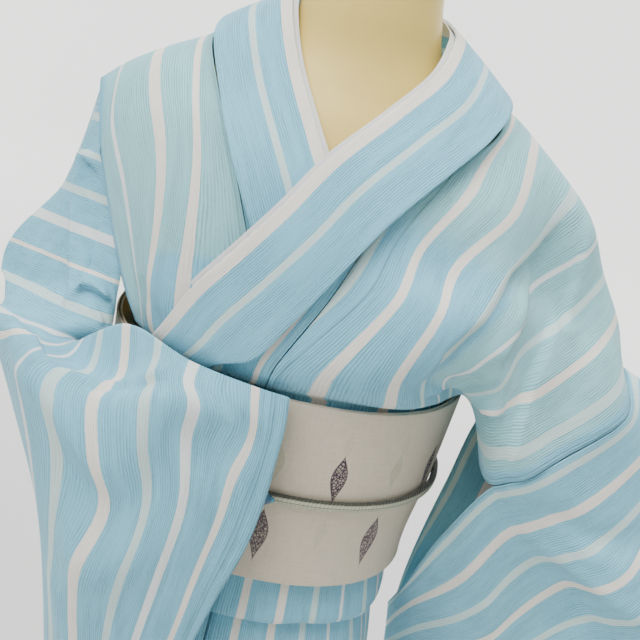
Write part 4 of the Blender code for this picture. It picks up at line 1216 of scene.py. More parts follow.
SLEEVE_CREASES = {
    True: named(Crease, (
        ((.01, .2), (.12, .06), .012, -.004, .008), ((.02, .225), (.16, .13), .01, .0034, .006),
        ((.06, .23), (.23, .2), .012, -.0034, -.01), ((.03, .28), (.21, .29), .014, .0036, .012),
        ((.08, .33), (.3, .25), .016, -.0036, .01), ((.15, .4), (.32, .33), .016, .0032),
        ((.11, .04), (.26, .1), .012, -.0026, -.008), ((.02, -.18), (.15, -.06), .014, -.004),
        ((.04, -.26), (.24, -.2), .014, .0036, .01), ((.1, -.36), (.31, -.28), .016, -.0034),
    )),
    False: named(Lap, (
        (((.165, .04), (.125, .175), (.07, .255), (.02, .37)), .0075, .045),
        (((.182, .2), (.188, .085), (.21, .04), (.262, .045)), .0065, .026),
        (((.33, .015), (.3, .026), (.25, .046)), .005, .016),
        (((.07, .018), (.105, .05), (.142, .096)), .0075, .026),
    )) + named(Crease, (
        ((.134, .06), (.137, .01), .006, .0026), ((.25, .118), (.35, .092), .024, -.005, .004),
        ((.262, .165), (.352, .14), .024, .0055, .004), ((.388, .028), (.345, .098), .016, -.0036),
        ((.392, .052), (.35, .122), .015, .0026), ((.3, .19), (.32, .42), .022, -.0028, .006),
        ((.262, .18), (.29, .3), .012, .0026), ((.12, .42), (.15, .23), .012, .0016),
        ((.15, .3), (.155, .16), .01, -.002), ((.03, -.2), (.18, -.12), .01, .0028),
        ((.25, -.15), (.38, -.38), .014, -.0026),
    )),
}
BODY_SWAYS = {
    True: named(Sway, (
        (0.0, .17, -.014, .045, .065), (0.0, .02, .01, .04, .05), (.155, .2, .007, .02, .05),
        (.125, .23, -.009, .015, .03), (.07, .09, .005, .03, .04), (.1, .02, -.005, .03, .03),
    )),
    False: named(Sway, (
        (.075, .14, .008, .02, .08), (.04, .02, -.006, .03, .04), (.04, .18, -.006, .02, .04),
        (.075, .01, -.006, .02, .03),
    )),
}
SLEEVE_SWAYS = named(Sway, (
    (.205, .02, -.012, .015, .03), (.205, .13, .008, .015, .06), (.23, .08, .01, .018, .05),
    (.3, .3, -.009, .06, .16), (.34, .12, -.007, .04, .08), (.375, .03, -.007, .015, .04),
    (.375, .13, .005, .015, .05),
))

# Level lines of the bent upper arm: the height of its upper edge and their lean,
# and where they give way to the straight warp, across and behind
ARM_TOP = 1.242
ARM_LEAN = np.array((0.1, 0.29, 1.0))
ARM_ACROSS = (0.176, 0.2)
ARM_BEHIND = (0.16, 0.34)


@dataclass(frozen=True)
class Crepe:
    """Ribbed cotton crepe with woven stripes.

    Args:
        effects: shared groups.
        single: ground colour where one layer shows.
        layered: ground colour where more layers lie behind.
        roughness: of the threads.
    """

    effects: Effects
    single: tuple[float, float, float] = (0.325, 0.670, 0.725)
    layered: tuple[float, float, float] = (0.242, 0.600, 0.775)
    roughness: float = 0.82

    def material(self, name: str, stripes: Sequence[Stripe], low: float, high: float,
                 lines: Sequence[float] = ()) -> bpy.types.Material:
        """Material for one panel.

        Args:
            name: its name.
            stripes: in rising order across.
            low: across value at the start of the panel.
            high: across value at its end.
            lines: across values of pressed hems and seams.

        Returns:
            The material.
        """
        mat, g, shader = plain_material(name)
        across, along = g.cloth()
        ribs = g.group(self.effects.ribs, Across=across, Along=along)
        mottle = g.group(self.effects.mottle, Amount=0.16)
        fray = g.less(g.streaks(across, along, STRIPE_FRAY), 0.5)
        share = g.over(g.less(g.times(fray, FRAY_REACH, across), low), high - low)
        stops = [(0.0, (1.0, 1.0, 1.0, 0.0))]
        for stripe in stripes:
            for half, alpha in ((-stripe.width / 2, 1.0), (stripe.width / 2, 0.0)):
                edge = (stripe.centre + half - low) / (high - low)
                stops.append((edge, (*stripe.tone.value, alpha)))
        ramp = g.ramp(share, stops, "CONSTANT")
        layers = g.node("ShaderNodeAttribute", attribute_name="layers").outputs["Fac"]
        # Painted shade and highlight: tone carries the ribs' darker troughs and lighter ridges, times
        # the cloth's random mottle; the stripes take part of it.
        tone = g.times(ribs["Tone"], mottle["Tone"])
        colour = g.tint(g.mix(layers, self.single, self.layered), tone)
        band = g.tint(ramp["Color"], g.times(g.less(tone, 1.0), 0.45, 1.0))
        colour = g.mix(ramp["Alpha"], colour, band)
        height = g.times(ribs["Height"], g.times(ramp["Alpha"], -0.55, 1.0))
        # Pressed hems and seams: grooves, each darkened with painted shade.
        for line in lines:
            fold = g.group(self.effects.fold, Place=across, Line=line)
            colour = g.tint(colour, fold["Tone"])
            height = g.times(fold["Height"], 0.8, height)
        g.feed_all(shader, {"Base Color": colour,
                            "Roughness": g.times(g.less(1.0, tone), 0.3, self.roughness),
                            "Normal": g.bump(height, 0.62, 0.0007), "Sheen Weight": 0.22,
                            "Sheen Roughness": 0.5, "Specular IOR Level": 0.28})
        return mat


@dataclass(frozen=True)
class LeafBand:
    """Row of woven leaves on the belt.

    Args:
        offset: start of the row along the belt.
        pitch: distance between leaves.
        level: height of the leaves' middle from the lower edge.
        size: half length of a leaf.
        lean: sideways lean for each metre up.
        ink: linear RGB.
        strength: 0 to 1.
    """

    offset: float
    pitch: float
    level: float
    size: float
    lean: float
    ink: tuple[float, float, float]
    strength: float


PLUM = (0.040, 0.014, 0.045)
MOSS = (0.42, 0.45, 0.27)
BELT_LEAVES = named(LeafBand, (
    (.067, .092, .098, .0215, -.02, PLUM, .97),
    (.021, .092, .104, .0170, .0, MOSS, .50),
    (.021, .092, .040, .0250, -.02, PLUM, .90),
    (.067, .092, .048, .0150, .0, MOSS, .26),
    (.044, .046, .128, .0120, .0, MOSS, .20),
))

DRUM_LEAVES = named(LeafBand, (
    (.021, .092, .060, .0175, .22, PLUM, .80),
    (.067, .092, .150, .0190, .24, PLUM, .65),
))


@dataclass(frozen=True)
class PlainCloth:
    """Plain woven cloth.

    Args:
        colour: linear RGB.
        pitch: thread spacing.
        slub: unevenness of the threads.
        roughness: of the threads.
    """

    colour: tuple[float, float, float]
    pitch: float
    slub: float
    roughness: float = 0.85

    def material(self, name: str, effects: Effects,
                 leaves: Sequence[LeafBand] = ()) -> bpy.types.Material:
        """Material of this cloth, with rows of woven leaves where asked."""
        mat, g, shader = plain_material(name)
        across, along = g.cloth()
        weave = g.group(effects.weave, Across=across, Along=along, Pitch=self.pitch,
                        Slub=self.slub)
        tone = g.times(weave["Tone"], g.group(effects.mottle, Amount=0.14)["Tone"])
        colour = g.tint(self.colour, tone)
        for leaf in leaves:
            row = g.group(effects.leaves, Across=across, Along=along, Offset=leaf.offset,
                          Pitch=leaf.pitch, Level=leaf.level, Size=leaf.size, Lean=leaf.lean)
            colour = g.mix(g.times(row["Mask"], leaf.strength), colour, leaf.ink)
        g.feed_all(shader, {"Base Color": colour,
                            "Roughness": g.times(g.less(1.0, tone), 0.4, self.roughness),
                            "Normal": g.bump(weave["Height"], 0.45, 0.0005),
                            "Sheen Weight": 0.15, "Specular IOR Level": 0.3})
        return mat


BELT_CLOTH = PlainCloth((0.760, 0.655, 0.510), 0.0011, 0.42)
LINING_CLOTH = PlainCloth((0.80, 0.80, 0.79), 0.0006, 0.25)


@dataclass(frozen=True)
class Braid:
    """Round braided cord, dark along its top and pale below."""

    dark: tuple[float, float, float] = (0.055, 0.055, 0.034)
    pale: tuple[float, float, float] = (0.53, 0.53, 0.38)

    def material(self, name: str) -> bpy.types.Material:
        """Braid pattern over length and turn; across is the share round from 0 to 1."""
        mat, g, shader = plain_material(name)
        turn, along = g.cloth()
        up = g.sine(g.times(turn, 2 * math.pi))
        slant = g.times(g.apart(turn, 0.5), 22.0)
        plait = g.sine(g.times(along, 2 * math.pi / PLAIT_PITCH, slant))
        fine = g.streaks(turn, along, SILK_THREADS)
        # The plait's tone follows its relief: painted shade in its grooves and painted highlight on
        # its crests.
        tone = g.times(plait, 0.13, g.times(fine, 0.3, 0.85))
        # Painted shade: a dark band where the two strands meet.
        tone = g.times(tone, g.span(g.apart(up, 0.60), 0.0, 0.20, 0.45, 1.0))
        base = g.mix(g.span(up, 0.58, 0.68, 0.0, 1.0), self.pale, self.dark)
        g.feed_all(shader, {"Base Color": g.tint(base, tone),
                            "Roughness": g.times(fine, 0.2, 0.5),
                            "Normal": g.bump(plait, 0.5, 0.0006), "Sheen Weight": 0.3})
        return mat


@dataclass(frozen=True)
class Glass:
    """Deep blue glass, thicker in the middle; its colour drifts between deep and clear blue."""

    deep: tuple[float, float, float] = (0.004, 0.075, 0.170)
    clear: tuple[float, float, float] = (0.03, 0.36, 0.52)

    def material(self, name: str) -> bpy.types.Material:
        """Colour drifts with the glass's swirls."""
        mat, g, shader = plain_material(name)
        swirl = g.noise(g.place(), 95.0, 2.0, 1.5)
        colour = g.mix(g.span(swirl, 0.35, 0.7, 0.0, 1.0), self.deep, self.clear)
        g.feed_all(shader, {"Base Color": colour, "Roughness": g.times(swirl, 0.08, 0.03),
                            "Coat Weight": 0.8, "Coat Roughness": 0.04})
        return mat


@dataclass(frozen=True)
class Shell:
    """Painted or moulded hard surface.

    Args:
        colour: linear RGB.
        roughness: mean value.
        metallic: 0 or 1.
        brushed: stretch of the fine scratches along Z, 0 for a moulded grain.
    """

    colour: tuple[float, float, float]
    roughness: float
    metallic: float = 0.0
    brushed: float = 0.0

    def material(self, name: str) -> bpy.types.Material:
        """Soft grain, faint wear and uneven gloss."""
        mat, g, shader = plain_material(name)
        place = g.place()
        x, y, z = g.split(place)
        if self.brushed:
            scratches = g.combine(g.times(x, 900.0), g.times(y, 900.0), g.times(z, self.brushed))
            fine = g.noise(scratches)
        else:
            fine = g.noise(place, 1300.0)
        wide = g.noise(place, 14.0, 3.0)
        scuff = g.span(g.noise(place, 60.0, 4.0, 1.2), 0.62, 0.80, 0.0, 1.0)
        tone = g.times(scuff, -0.05, g.times(g.less(wide, 0.5), 0.10, 1.0))
        rough = g.times(scuff, 0.12, g.times(g.less(fine, 0.5), 0.12, self.roughness))
        g.feed_all(shader, {"Base Color": g.tint(self.colour, tone), "Roughness": rough,
                            "Normal": g.bump(fine, 0.10, 0.0003), "Metallic": self.metallic})
        return mat


@dataclass
class Piece:
    """One sub-part of the garment or its stand.

    Args:
        node: the CAD node it stands for.
        slot: the record's material slot; not used.
        obj: the built object.
    """

    node: str
    slot: str
    obj: bpy.types.Object

    def place(self, mat: bpy.types.Material) -> "Piece":
        """Dress the object and tie it to the frame."""
        self.obj.data.materials.clear()
        self.obj.data.materials.append(mat)
        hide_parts(self.node)
        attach(self.obj, "root")
        LOG.info("%s: %d points", self.obj.name, len(self.obj.data.vertices))
        return self


def cloth_piece(node: str, slot: str, net: Net, thickness: float, mat: bpy.types.Material,
                rounding: float = 0.0) -> Piece:
    """Piece of cloth with its thickness and material, named after its node."""
    obj = cloth_object(node + "_cloth", net)
    thicken(obj, thickness, rounding)
    return Piece(node, slot, obj).place(mat)


@dataclass
class BodyPanel:
    """One body panel, from the back hem over the shoulder to the front hem."""

    side: Side
    step: float = 0.003
    thickness: float = 0.0010

    def net(self) -> Net:
        """Fine grid of the panel."""
        side = self.side
        share = spread(0.0, 1.0, self.step / (side.outer - NECK_EDGE))
        columns = len(share)
        neck = -NECKLINE[-1].behind
        stations = np.concatenate([spread(BRIM_MARGIN - side.back_end, neck, self.step)[:-1],
                                   spread(neck, 0.0, self.step)[:-1],
                                   spread(0.0, side.front_end - BRIM_MARGIN, self.step)])
        points, across = [], []
        for station in stations:
            row = side.row(side.inner(station), share)
            points.append(side.point(row, np.full(columns, station)))
            across.append(row)
        back_across, front_across = side.row(CENTRE_BACK, share), side.row(NECK_EDGE, share)
        back_belt = np.interp(back_across, side.across, side.back_angle)
        front_belt = np.interp(front_across, side.across[1:], side.front_angle)
        back_side = SIDE_SEAM_ANGLE + SEAM_ANGLE
        back_low = side.sign * (BACK_SEAM_ANGLE + share * (back_side - BACK_SEAM_ANGLE))
        seam = side.front_angle[0]
        front_low = seam + share * (side.sign * (SIDE_SEAM_ANGLE - SEAM_ANGLE) - seam)
        behind, run = side.lower(back_belt, back_low)
        ahead, run = side.lower(front_belt, front_low)
        station = np.concatenate([-side.back_end - run[::-1], stations, side.front_end + run])
        across = np.array([back_across] * len(run) + across + [front_across] * len(run))
        station = np.repeat(station[:, None], columns, axis=1)
        return Net(np.array(behind[::-1] + points + ahead), across, station,
                   self.layers(across, station))

    def layers(self, across: Array, station: Array) -> Array:
        """Where the other front, its overlap panel or a turned edge lies behind."""
        lap = LAPPED[self.side.left]
        lapped = smooth(station, lap.start, lap.full) * (1 - smooth(across, lap.inner, lap.clear))
        low = smooth(station, lap.low, lap.low_full)
        edge = 1 - smooth(self.side.outer - across, *TURNED_EDGE)
        return np.maximum(np.maximum(lapped, low), edge * (station > TURNED_FROM))

    def build(self, crepe: Crepe) -> None:
        """Cloth, creases, material and frame."""
        net = self.net()
        net.crease(BODY_CREASES[self.side.left], self.outward(net))
        net.sway(BODY_SWAYS[self.side.left])
        name = "body_" + self.side.word
        mat = crepe.material("striped_" + name, BODY_STRIPES[self.side.left],
                             CENTRE_BACK - 0.002, self.side.outer + 0.01,
                             (NECK_LINE, self.side.outer - HEM_LINE))
        piece = cloth_piece(name, "crepe_" + name, net, self.thickness, mat)

    def outward(self, net: Net) -> float:
        """Sign that turns the net's normals away from the form."""
        middle = net.points.shape[0] // 2
        normal = net.normals()[middle, 0]
        return 1.0 if normal[2] > 0 else -1.0


@dataclass
class Overlap:
    """Overlap panel beside a body panel's front edge, its apex at the collar."""

    side: Side
    step: float = 0.003
    share_step: float = 0.03
    thickness: float = 0.0010
    span: tuple[float, float] = (-0.002, 0.150)

    def net(self) -> Net:
        """Fine grid of the panel."""
        side = self.side
        table = OKUMI_LEFT_EDGE if side.left else OKUMI_RIGHT_EDGE
        share = spread(0.0, 1.0, self.share_step)
        stations = spread(table[0].station, side.front_end - BRIM_MARGIN, self.step)
        seam = side.front_angle[0] - side.sign * OKUMI_SEAM_ANGLE
        end_angle = OKUMI_BELT_ANGLE[side.left]
        end = ring_point(BELT_RING_Z, end_angle, side.inset)[0]
        knots = [row.station for row in table] + [side.front_end]
        outer = curve(knots, [row.point for row in table] + [end], stations)
        near = side.point(np.full(len(stations), NECK_EDGE), stations)
        near = near + unit(outer - near) * SEAM_GAP * 1.8
        points = [near[i] + share[:, None] * (outer[i] - near[i]) for i in range(len(stations))]
        lower, run = side.lower(seam + share * (end_angle - seam),
                                seam - share * side.sign * OKUMI_HEM_ANGLE)
        points = np.array(points + lower)
        station = np.concatenate([stations, side.front_end + run])
        steps = np.linalg.norm(np.diff(points, axis=1), axis=2)
        across = np.concatenate([np.zeros((len(points), 1)), np.cumsum(steps, axis=1)], axis=1)
        station = np.repeat(station[:, None], len(share), axis=1)
        return Net(points, across, station)

    def build(self, crepe: Crepe) -> None:
        """Cloth, material and frame."""
        name = "okumi_" + self.side.word
        mat = crepe.material("striped_" + name, OKUMI_STRIPES[self.side.left], *self.span,
                             (OKUMI_LINE,))
        piece = cloth_piece(name, "crepe_" + name, self.net(), self.thickness, mat)


@dataclass
class SleeveBag:
    """One sleeve: front and back layers joined round its edges."""

    body: Side
    step: float = 0.003
    down_step: float = 0.0045
    fold: float = 0.012
    fold_step: float = 0.0012
    thickness: float = 0.0010
    left: bool = field(init=False)

    def __post_init__(self) -> None:
        """Read the tables."""
        self.left = self.body.left
        table = LEFT_SLEEVE if self.left else RIGHT_SLEEVE
        self.stations = LEFT_SLEEVE_STATIONS if self.left else RIGHT_SLEEVE_STATIONS
        self.across = [row.across for row in table]
        self.front_net = np.array([row[1:] for row in table], float)
        self.sewing = SLEEVE_SEWING[self.left]
        self.width = self.across[-1]
        self.length = self.stations[-1]
        self.back_net = self.make_back()

    def make_back(self) -> Array:
        """Back layer: the front layer moved in, then the given rows."""
        rows = []
        stations = np.array(self.stations)
        for i, across in enumerate(self.across):
            inward = self.inward(np.full(len(stations), across), stations)
            rows.append(self.front_net[i] + inward * self.sewing.loft)
            if self.left:
                rows[i][:, 1] += LEFT_SLEEVE_GAP[i][1:]
        if not self.left:
            for i, row in enumerate(RIGHT_SLEEVE_BACK):
                rows[i] = np.array(row[1:], float)
        return np.array(rows)

    def sheet(self, across: Array, down: Array) -> Array:
        """Points of the front layer as the table gives them."""
        return sheet_point((self.across, self.stations), self.front_net,
                           np.clip(across, 0.0, self.width), np.clip(down, 0.0, self.length))

    def inward(self, across: Array, down: Array, reach: float = 0.02) -> Array:
        """Unit direction from the front layer to the inside of the sleeve."""
        along = self.sheet(across + reach, down) - self.sheet(across - reach, down)
        fall = self.sheet(across, down + reach) - self.sheet(across, down - reach)
        return unit(np.cross(along, fall))

    def raw(self, across: Array, down: Array, layer: int) -> Array:
        """Points of a layer before it is drawn to the body's edge; layer 1 is the back."""
        front = self.sheet(across, down)
        if not layer:
            return front
        back = sheet_point((self.across, self.stations), self.back_net, across, down)
        if self.left:
            share = np.sqrt(np.clip(down / FOLD_ROUND, 0.0, 1.0))
        else:
            lower = np.clip((self.length - down) / CLOSED_HEM, 0.0, 1.0)
            open_share = smooth(np.minimum(down / CLOSED_TOP, lower), 0.0, 1.0)
            ends = CLOSED_SHARE + (1.0 - CLOSED_SHARE) * open_share
            share = 1.0 + (ends - 1.0) * smooth(across, *CLOSED_FROM)
        return front + share[:, None] * (back - front)

    def held(self, down: Array) -> Array:
        """How far from the shoulder fold a point of the sewn edge lies."""
        if self.left:
            return np.minimum(down, self.sewing.sewn)
        return HELD_START + self.sewing.sewn * (1.0 - down / self.length)

    def point(self, across: Array, down: Array, layer: int) -> Array:
        """Points of a layer, its sewn edge running along the body panel's edge."""
        point = self.raw(across, down, layer)
        held = self.held(down)
        edge = self.body.edge((-1.0 if layer else 1.0) * held, self.sewing.tuck)
        start = self.raw(np.zeros(len(down)), down if not self.left else held, layer)
        near = 1.0 - smooth(across, 0.0, SEWN_REACH)
        if self.left:
            sewn = self.sewing.sewn
            near = near * (1.0 - smooth(down, sewn, sewn + SEWN_RELEASE))
        return point + near[:, None] * (edge - start)

    def clear(self, across: Array, down: Array) -> Array:
        """Across values, kept off the body panel's edge, more so at the shoulder."""
        shoulder = 1.0 - smooth(self.held(down), 0.0, SEWN_REACH)
        start = SEAM_GAP + CLEAR_EDGE + CLEAR_SHOULDER * shoulder
        return start + across * (self.width - start) / self.width

    def net(self) -> Net:
        """Closed rings: up the front layer, over the fold, down the back layer."""
        downs = np.concatenate([spread(0.0, self.fold, self.fold_step)[:-1],
                                spread(self.fold, self.length, self.down_step)])
        up, back = downs[::-1], (downs[1:] if self.left else downs)
        points, across, station = [], [], []
        for value in spread(0.0, self.width, self.step):
            rows = [self.clear(np.full(len(up), value), up),
                    self.clear(np.full(len(back), value), back)]
            points.append(np.vstack([self.point(rows[0], up, 0), self.point(rows[1], back, 1)]))
            across.append(np.concatenate(rows))
            station.append(np.concatenate([up, -back]))
        across, station = np.array(across), np.array(station)
        return Net(np.array(points), across, station, self.layers(across, station), closed=True)

    def level_stripes(self, net: Net) -> None:
        """Let the stripes run level round the bent upper arm."""
        level = ARM_TOP - net.points @ ARM_LEAN
        share = 1.0 - smooth(net.across, *ARM_ACROSS)
        share = share * (1.0 - smooth(-net.station, *ARM_BEHIND))
        net.across = net.across + share * (level - net.across)

    def layers(self, across: Array, station: Array) -> Array:
        """A hanging sleeve shows two layers, its turned cuff more."""
        cuff = smooth(across, *(self.width - turn for turn in CUFF_TURN))
        return np.clip(self.sewing.layered + 0.5 * cuff, 0.0, 1.0)

    def build(self, crepe: Crepe) -> None:
        """Cloth, creases, material and frame."""
        net = self.net()
        net.crease(SLEEVE_CREASES[self.left], self.outward(net))
        if not self.left:
            net.sway(SLEEVE_SWAYS)
            self.level_stripes(net)
        name = "sleeve_" + self.body.word
        lines = (*(self.width - line for line in CUFF_LINES), HEM_LINE)
        mat = crepe.material("striped_" + name, SLEEVE_STRIPES[self.left], -0.002,
                             self.width + 0.002, lines)
        piece = cloth_piece(name, "crepe_" + name, net, self.thickness, mat)

    def outward(self, net: Net) -> float:
        """Sign that turns the net's normals out of the sleeve."""
        row = net.points[-2]
        normal = net.normals()[-2]
        away = row - row.mean(axis=0)
        return 1.0 if float(np.sum(normal * away)) > 0 else -1.0


def collar_bands() -> list:
    """Both edges of the collar from the left end round the nape to the right end."""
    def end_bands(angles: tuple, inset: float) -> list:
        pairs = [ring_point(np.array([z, z]), np.array(angles), inset) for z in COLLAR_END_Z]
        return [Band(tuple(pair[0]), tuple(pair[1])) for pair in pairs]

    left = list(COLLAR_LEFT) + end_bands(COLLAR_LEFT_END, COLLAR_LEFT_INSET)
    right = list(COLLAR_RIGHT) + end_bands(COLLAR_RIGHT_END, COLLAR_RIGHT_INSET)
    return left[::-1] + [COLLAR_NAPE] + right


def collar_edges(per_step: int) -> tuple[Array, Array, Array]:
    """Fold edge, sewn edge and distance run along the collar."""
    bands = collar_bands()
    middle = np.array([(np.array(b.fold) + np.array(b.sewn)) / 2 for b in bands])
    knots = lengths(middle)
    values = np.interp(np.arange(0, len(knots) - 1 + 1e-9, 1.0 / per_step),
                       np.arange(len(knots)), knots)
    return (curve(knots, [b.fold for b in bands], values),
            curve(knots, [b.sewn for b in bands], values), values)


@dataclass
class CollarBand:
    """Folded collar, one long band from front to front."""

    thickness: float = 0.0026
    per_step: int = 12
    share_step: float = 0.055
    rounding: float = 0.0009
    span: tuple[float, float] = (-0.004, 0.064)
    swell: float = 0.0009
    ripple: float = 0.0004
    centre: tuple[float, float, float] = (0.0, 0.0, 1.20)

    def build(self, crepe: Crepe) -> None:
        """Band with a slightly full middle and rounded folds."""
        fold, sewn, run = collar_edges(self.per_step)
        share = spread(0.0, 1.0, self.share_step)
        points = fold[:, None] * (1 - share)[None, :, None] + sewn[:, None] * share[None, :, None]
        width = np.linalg.norm(sewn - fold, axis=1)
        across = width[:, None] * share[None, :]
        station = np.repeat(run[:, None], len(share), axis=1)
        net = Net(points, across, station)
        normal = net.normals()
        away = points - np.array(self.centre)
        sign = np.sign(np.sum(normal * away, axis=2))[:, :, None]
        full = np.sin(np.pi * share)[None, :, None]
        ripple = self.ripple * np.sin(run[:, None] * 61.0 + 5.0 * share[None, :])[:, :, None]
        net.points = points + normal * sign * (full * self.swell + ripple * full)
        mat = crepe.material("striped_collar", COLLAR_STRIPES, *self.span)
        piece = cloth_piece("collar", "crepe_collar", net, self.thickness, mat, self.rounding)


@dataclass
class CollarLining:
    """White cotton band that shows above the collar's fold."""

    thickness: float = 0.0011
    per_step: int = 10
    skipped: int = 5
    kept: int = 6
    clearance: float = 0.0008
    above: float = 0.0035
    below: float = 0.014
    centre: tuple[float, float, float] = (0.0, 0.0, 1.30)

    def build(self, effects: Effects) -> None:
        """Narrow band on the inner side of the collar."""
        fold, sewn, run = collar_edges(self.per_step)
        first = self.skipped * self.per_step
        last = (len(COLLAR_LEFT) + len(COLLAR_END_Z) + self.kept) * self.per_step + 1
        fold, sewn, run = fold[first:last], sewn[first:last], run[first:last]
        pair = np.stack([fold, sewn], 1)
        flat = Net(pair, *np.zeros((2,) + pair.shape[:2]))
        inward = -flat.normals()[:, 0]
        flip = np.sign(np.sum(inward * (np.array(self.centre) - fold), axis=1))[:, None]
        down = unit(sewn - fold)
        base = fold + inward * flip * (COLLAR_THICK / 2 + LINING_THICK / 2 + self.clearance)
        drops = spread(-self.above, self.below, 0.002)
        points = base[:, None] + down[:, None] * drops[None, :, None]
        net = Net(points, *np.meshgrid(drops + self.above, run))
        mat = LINING_CLOTH.material("white_cotton", effects)
        piece = cloth_piece("collar_lining", "white_lining", net, self.thickness, mat, 0.0003)


@dataclass
class Belt:
    """Folded belt wound nearly twice, its second turn outside the first."""

    thickness: float = 0.0019
    step: float = 2.5
    start: float = 195.0
    turned: float = 650.0
    climb: tuple[float, float] = (295.0, 348.0)

    def build(self, effects: Effects) -> None:
        """Long strip, wound outwards where it passes its own start."""
        turns = spread(0.0, self.turned, self.step)
        pitch = OBI_THICK + OBI_GAP
        offset = BELT_CLEARANCE + OBI_THICK / 2 + pitch * smooth(turns, *self.climb)
        levels = spread(OBI_BOTTOM, OBI_TOP, 0.005)
        rows = [ring_point(np.full(len(turns), z), self.start + turns, -offset) for z in levels]
        run = lengths(rows[len(levels) // 2])
        station, across = np.meshgrid(run, levels - OBI_BOTTOM)
        mat = BELT_CLOTH.material("belt_cloth", effects, BELT_LEAVES)
        piece = cloth_piece("obi_band", "obi_weave", Net(np.array(rows), across, station),
                            self.thickness, mat, 0.0006)


@dataclass
class Drum:
    """Box of belt cloth behind, open at both sides."""

    thickness: float = 0.0030
    step: float = 0.004
    samples: int = 160
    wave: float = 0.0006

    def build(self, effects: Effects) -> None:
        """Closed section drawn out sideways, with shallow waves in its outer side."""
        section = np.array(DRUM_SECTION + DRUM_SECTION[:1])
        knots = np.arange(len(section))
        path = curve(knots, section, np.linspace(0, len(section) - 1, self.samples + 1)[:-1])
        xs = spread(-DRUM_HALF, DRUM_HALF, self.step)
        centre = path.mean(axis=0)
        run = lengths(np.vstack([path, path[:1]]))[:-1]
        rows = []
        for x in xs:
            wave = self.wave * np.sin(x * 95.0 + run * 30.0) * smooth(path[:, 0], 0.15, 0.18)
            section_here = path - unit(path - centre) * np.abs(wave)[:, None]
            rows.append(np.column_stack([np.full(len(path), x), section_here]))
        station, across = np.meshgrid(run, xs + DRUM_HALF)
        net = Net(np.array(rows), across, station, closed=True)
        mat = BELT_CLOTH.material("belt_drum_cloth", effects, DRUM_LEAVES)
        piece = cloth_piece("obi_drum", "obi_weave_drum", net, self.thickness, mat, 0.0007)


@dataclass
class Tail:
    """Flat end of the belt passed through the drum."""

    thickness: float = 0.0019

    def build(self, effects: Effects) -> None:
        """Plain flat strip."""
        xs, zs = spread(-TAIL_HALF, TAIL_HALF, 0.005), spread(*TAIL_Z, 0.005)
        grid_x, grid_z = np.meshgrid(xs, zs)
        points = np.stack([grid_x, np.full(grid_x.shape, TAIL_Y), grid_z], 2)
        net = Net(points, grid_z - TAIL_Z[0], grid_x + TAIL_HALF)
        mat = BELT_CLOTH.material("belt_tail_cloth", effects)
        piece = cloth_piece("obi_tail", "obi_weave_tail", net, self.thickness, mat, 0.0006)


def cord_path(samples: int) -> Array:
    """Centre line of the cord: close on the belt in front, inside the drum behind."""
    angles = np.linspace(-100.0, 100.0, 21)
    outside = BELT_CLEARANCE + 2 * OBI_THICK + OBI_GAP
    front = ring_point(np.full(len(angles), CORD_LEVEL), angles,
                       -(outside + 0.0004 + CORD_DEPTH / 2))
    back = [(x, y, CORD_LEVEL) for x, y in CORD_BACK]
    mirror = [(-x, y, z) for x, y, z in reversed(back)]
    points = np.vstack([front, back, [(0.0, .1515, CORD_LEVEL)], mirror, front[:1]])
    knots = lengths(points)
    return curve(knots, points, np.linspace(0.0, knots[-1], samples + 1)[:-1])


@dataclass
class TiedCord:
    """Braided cord tied round the belt."""

    samples: int = 420
    sides: int = 20

    def build(self) -> None:
        """Oval tube round the belt, with a groove between its two strands of colour."""
        path = cord_path(self.samples)
        tangent = unit(np.roll(path, -1, axis=0) - np.roll(path, 1, axis=0))
        up = np.array([0.0, 0.0, 1.0])
        out = np.cross(tangent, up)
        turns = np.linspace(0.0, 1.0, self.sides + 1)[:-1]
        angle = 2 * np.pi * turns
        groove = 1.0 - 0.10 * np.exp(-((np.sin(angle) - 0.26) / 0.16) ** 2)
        ahead = np.cos(angle) * groove * CORD_DEPTH / 2
        rise = np.sin(angle) * CORD_HEIGHT / 2
        points = path[:, None] + out[:, None] * ahead[None, :, None] + up * rise[None, :, None]
        run = lengths(np.vstack([path, path[:1]]))[:-1]
        faces = quads(self.samples, self.sides, True, looped=True).tolist()
        uv = np.stack(np.meshgrid(turns, run), 2).reshape(-1, 2)
        obj = mesh_object("obi_cord_braid", points.reshape(-1, 3), faces, {"uv": uv})
        Piece("obi_cord", "cord_braid", obj).place(Braid().material("braided_silk"))


@dataclass
class Clasp:
    """Pointed leaf of glass with a flat back, set over the cord."""

    rings: int = 41
    sides: int = 40
    depth: float = 0.0042
    rim: float = 0.0007
    gap: float = 0.0006

    def build(self) -> None:
        """Rings along the leaf, closed at both tips."""
        front = float(cord_path(64)[:, 1].min()) - CORD_DEPTH / 2 - self.gap
        shares = np.sin(np.linspace(-0.47 * math.pi, 0.47 * math.pi, self.rings))
        points = []
        for share in shares:
            half = CLASP_HALF_HEIGHT * (1 - abs(share) ** 1.7) + 0.0004
            depth = self.depth * (1 - share * share) + self.rim
            angle = np.linspace(0.0, 2 * math.pi, self.sides, endpoint=False)
            bulge = np.cos(angle)
            y = front - depth * np.maximum(bulge, 0.0) ** 0.8 - 0.0002 * (1 + bulge)
            x = np.full(self.sides, CLASP_CENTRE_X + share * CLASP_HALF_LENGTH)
            points.append(np.column_stack([x, y, CORD_LEVEL + half * np.sin(angle)]))
        obj = capped_object("obi_clasp_glass", np.array(points))
        Piece("obi_clasp", "blue_glass", obj).place(Glass().material("blue_clasp_glass"))


